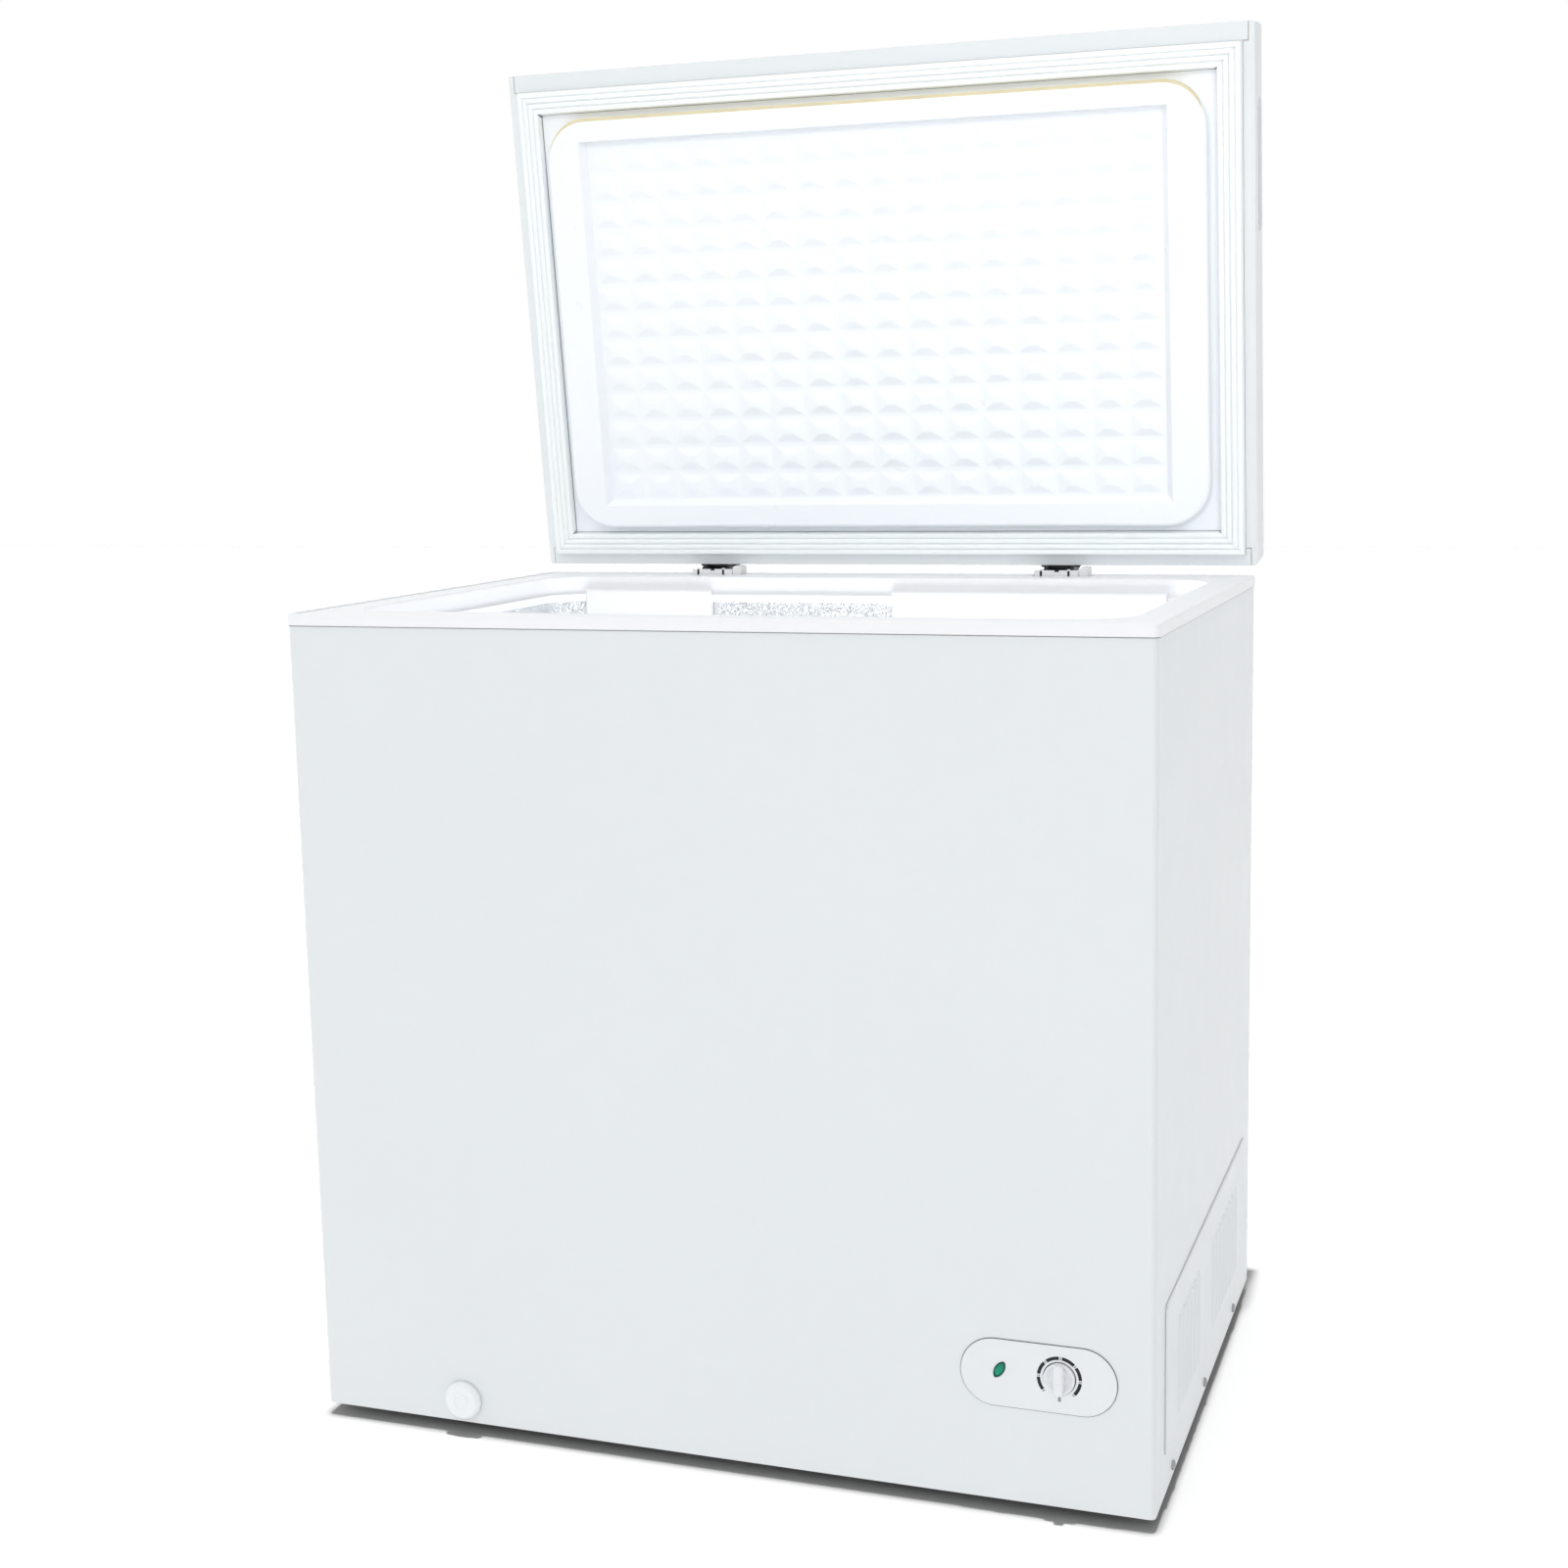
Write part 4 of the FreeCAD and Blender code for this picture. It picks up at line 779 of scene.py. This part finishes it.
def buildDial(p, d):
    shape = bmesh.new()
    radius = p["dialRadius"]
    profile = [(3.1, 0.7), (radius - 2.0, 0.7), (radius - 0.2, 0.7), (radius, 1.0), (radius, d["rim"] - 1.4)]
    profile += arcPoints(radius - 1.0, d["rim"] - 1.0, 1.0, 0, 130, 7)
    profile += [(radius - 2.6, d["rim"] - 0.9), (radius - 4.4, d["dish"] + 0.6),
                (radius - 6.4, d["dish"] + 0.1), (radius - 9.0, d["dish"]), (3.1, d["dish"])]
    lathe(shape, profile, segments=128, closed=True)
    bar = []
    for inset, y, ends in ((0.0, 1.2, 1.6), (0.0, d["rim"] - 1.5, 1.6), (0.0, d["rim"] - 1.2, 0.0),
                           (0.3, d["bar"] - 3.0, 0.2), (0.6, d["bar"] - 1.3, 0.6),
                           (1.1, d["bar"] - 0.4, 1.1), (2.0, d["bar"], 2.0)):
        half = d["barHalfWidth"] - inset
        bar.append(onPanel(roundedLoop(-half, half, -d["barHalfLength"] + ends, d["barHalfLength"] - ends,
                                       half * 0.72, 0.0, arc=8), y))
    loftLoops(shape, bar, closeFirst=True, closeLast=True)
    shape.transform(Matrix.Translation((p["dialX"], -p["wall"], p["dialZ"])))
    knob = addPiece("thermostat_dial_cap", shape, "knob_plastic", "thermostat_dial", crease=45.0)
    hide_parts("thermostat_knob")


buildBezel(panelPlace)
buildLens(panelPlace)
buildScale(panelPlace, scaleMarks)
buildDial(panelPlace, dial)
print("control panel made")


# drain cap
drainPlug = {
    "x": -255.5,
    "z": 34.0,
    "radius": 18.5,
    "rise": 6.9,
    "ring": 7.5,            # radius of the thin raised ring
    "stem": 6.9,
}


def buildDrainPlug(p):
    shape = bmesh.new()
    r, top, ring = p["radius"], p["rise"], p["ring"]
    profile = [(4.6, -13.8), (p["stem"] - 0.6, -13.8), (p["stem"], -13.2), (p["stem"], 0.4), (r - 1.0, 0.4),
               (r, 0.8), (r, top - 3.4), (r - 0.3, top - 2.6), (r - 2.4, top - 0.5), (r - 3.2, top - 0.1),
               (r - 4.4, top), (ring + 1.6, top), (ring + 0.9, top + 0.2), (ring + 0.6, top + 0.75),
               (ring, top + 0.9), (ring - 0.6, top + 0.75), (ring - 0.9, top + 0.2), (ring - 1.6, top - 0.1),
               (0.0, top - 0.2)]
    lathe(shape, profile, segments=128)
    inner = [(4.6, -13.8), (4.6, -2.0), (0.0, -2.0)]
    lathe(shape, inner, segments=128)
    shape.transform(Matrix.Translation((p["x"], -panelPlace["wall"], p["z"])))
    cap = addPiece("drain_plug_cap", shape, "drain_plastic", "drain_cap", crease=40.0)
    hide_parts("drain_cap")


buildDrainPlug(drainPlug)
print("drain cap made")


# thin dark strip between the collar's lip and the steel, on the front and sides: painted shadow under the lip
collarShadowStrip = {
    "halfWidth": 403.5,
    "halfDepth": 278.5,
    "corner": 5.0,
    "lip": 769.0,
    "height": 0.9,
    "proud": 0.5,
}


def buildCollarShadowStrip(p):
    shape = bmesh.new()
    loops = []
    for grow, z in ((-0.3, 0.2), (p["proud"], 0.2), (p["proud"], -p["height"]), (-0.3, -p["height"])):
        w, d = p["halfWidth"] + grow, p["halfDepth"] + grow
        loops.append(roundedLoop(-w, w, -d, d - 0.4, p["corner"] + grow, p["lip"] + z))
    loftLoops(shape, loops)
    addPiece("collar_seam", shape, "seam_rubber", "cabinet")


# white strip clipped over the front lip of each hinge
hingeLip = {
    "xs": {"left": -197.0, "right": 197.0},
    "halfWidth": 24.0,
    "near": 264.0,          # front and rear faces
    "far": 266.0,
    "foot": 776.2,
    "top": 784.8,
    "lugs": (-17.0, 13.0),
}


def buildHingeLip(p, side):
    shape = bmesh.new()
    x = p["xs"][side]
    end, notch = p["halfWidth"], p["halfWidth"] * 0.1
    spans = [(-end, -notch, p["top"]), (notch, end, p["top"]), (-notch, notch, p["top"] - 1.8)]
    spans += [(a - 1.6, a + 1.6, p["top"] + 1.2) for a in p["lugs"]]
    for x0, x1, top in spans:
        loops = [roundedLoop(x + x0 + i, x + x1 - i, p["near"] + i * 0.6, p["far"] - i * 0.6, 0.4, z, arc=3)
                 for i, z in ((0.0, p["foot"]), (0.0, top - 0.5), (0.15, top - 0.15), (0.5, top))]
        loftLoops(shape, loops, closeFirst=True, closeLast=True)
    addPiece("hinge_lip_" + side, shape, "hinge_cover_plastic", "cabinet", facing=(0, 0, 1))


buildCollarShadowStrip(collarShadowStrip)
for side in hingeLip["xs"]:
    buildHingeLip(hingeLip, side)
print("collar shadow strip and hinge lips made")


# floor
floorPaper = {
    "shade": 0.35,
    "half": 14.0,           # metres
    "under": 0.0002,        # below the feet, so that the two don't share a face
}


def layFloor(p):
    paper = Finish("paper", (p["shade"],) * 3, 0.9, Specular_IOR_Level=0.0)
    paper.mottle(2.0, 0.004).relief(paper.noise(500.0, 4.0), 0.00005, 0.3)
    mesh = bpy.data.meshes.new("floor")
    half = p["half"]
    corners = [(-half, -half, 0), (half, -half, 0), (half, half, 0), (-half, half, 0)]
    mesh.from_pydata(corners, [], [(0, 1, 2, 3)])
    floor = bpy.data.objects.new("floor", mesh)
    floor.location.z = -p["under"]
    mesh.materials.append(paper.material)
    bpy.context.scene.collection.objects.link(floor)
    data = bpy.data.lights.new("floorSun", "SUN")
    data.energy = studio["floorSun"]
    data.angle = math.radians(studio["sunAngle"])
    sun = bpy.data.objects.new("floorSun", data)
    bpy.context.scene.collection.objects.link(sun)


def aimLights():
    for name, receivers in studio["only"].items():
        lit = bpy.data.collections.new(name + "Only")
        for receiver in receivers:
            lit.objects.link(bpy.data.objects[receiver])
        bpy.data.objects[name].light_linking.receiver_collection = lit


layFloor(floorPaper)
aimLights()
print("floor laid")
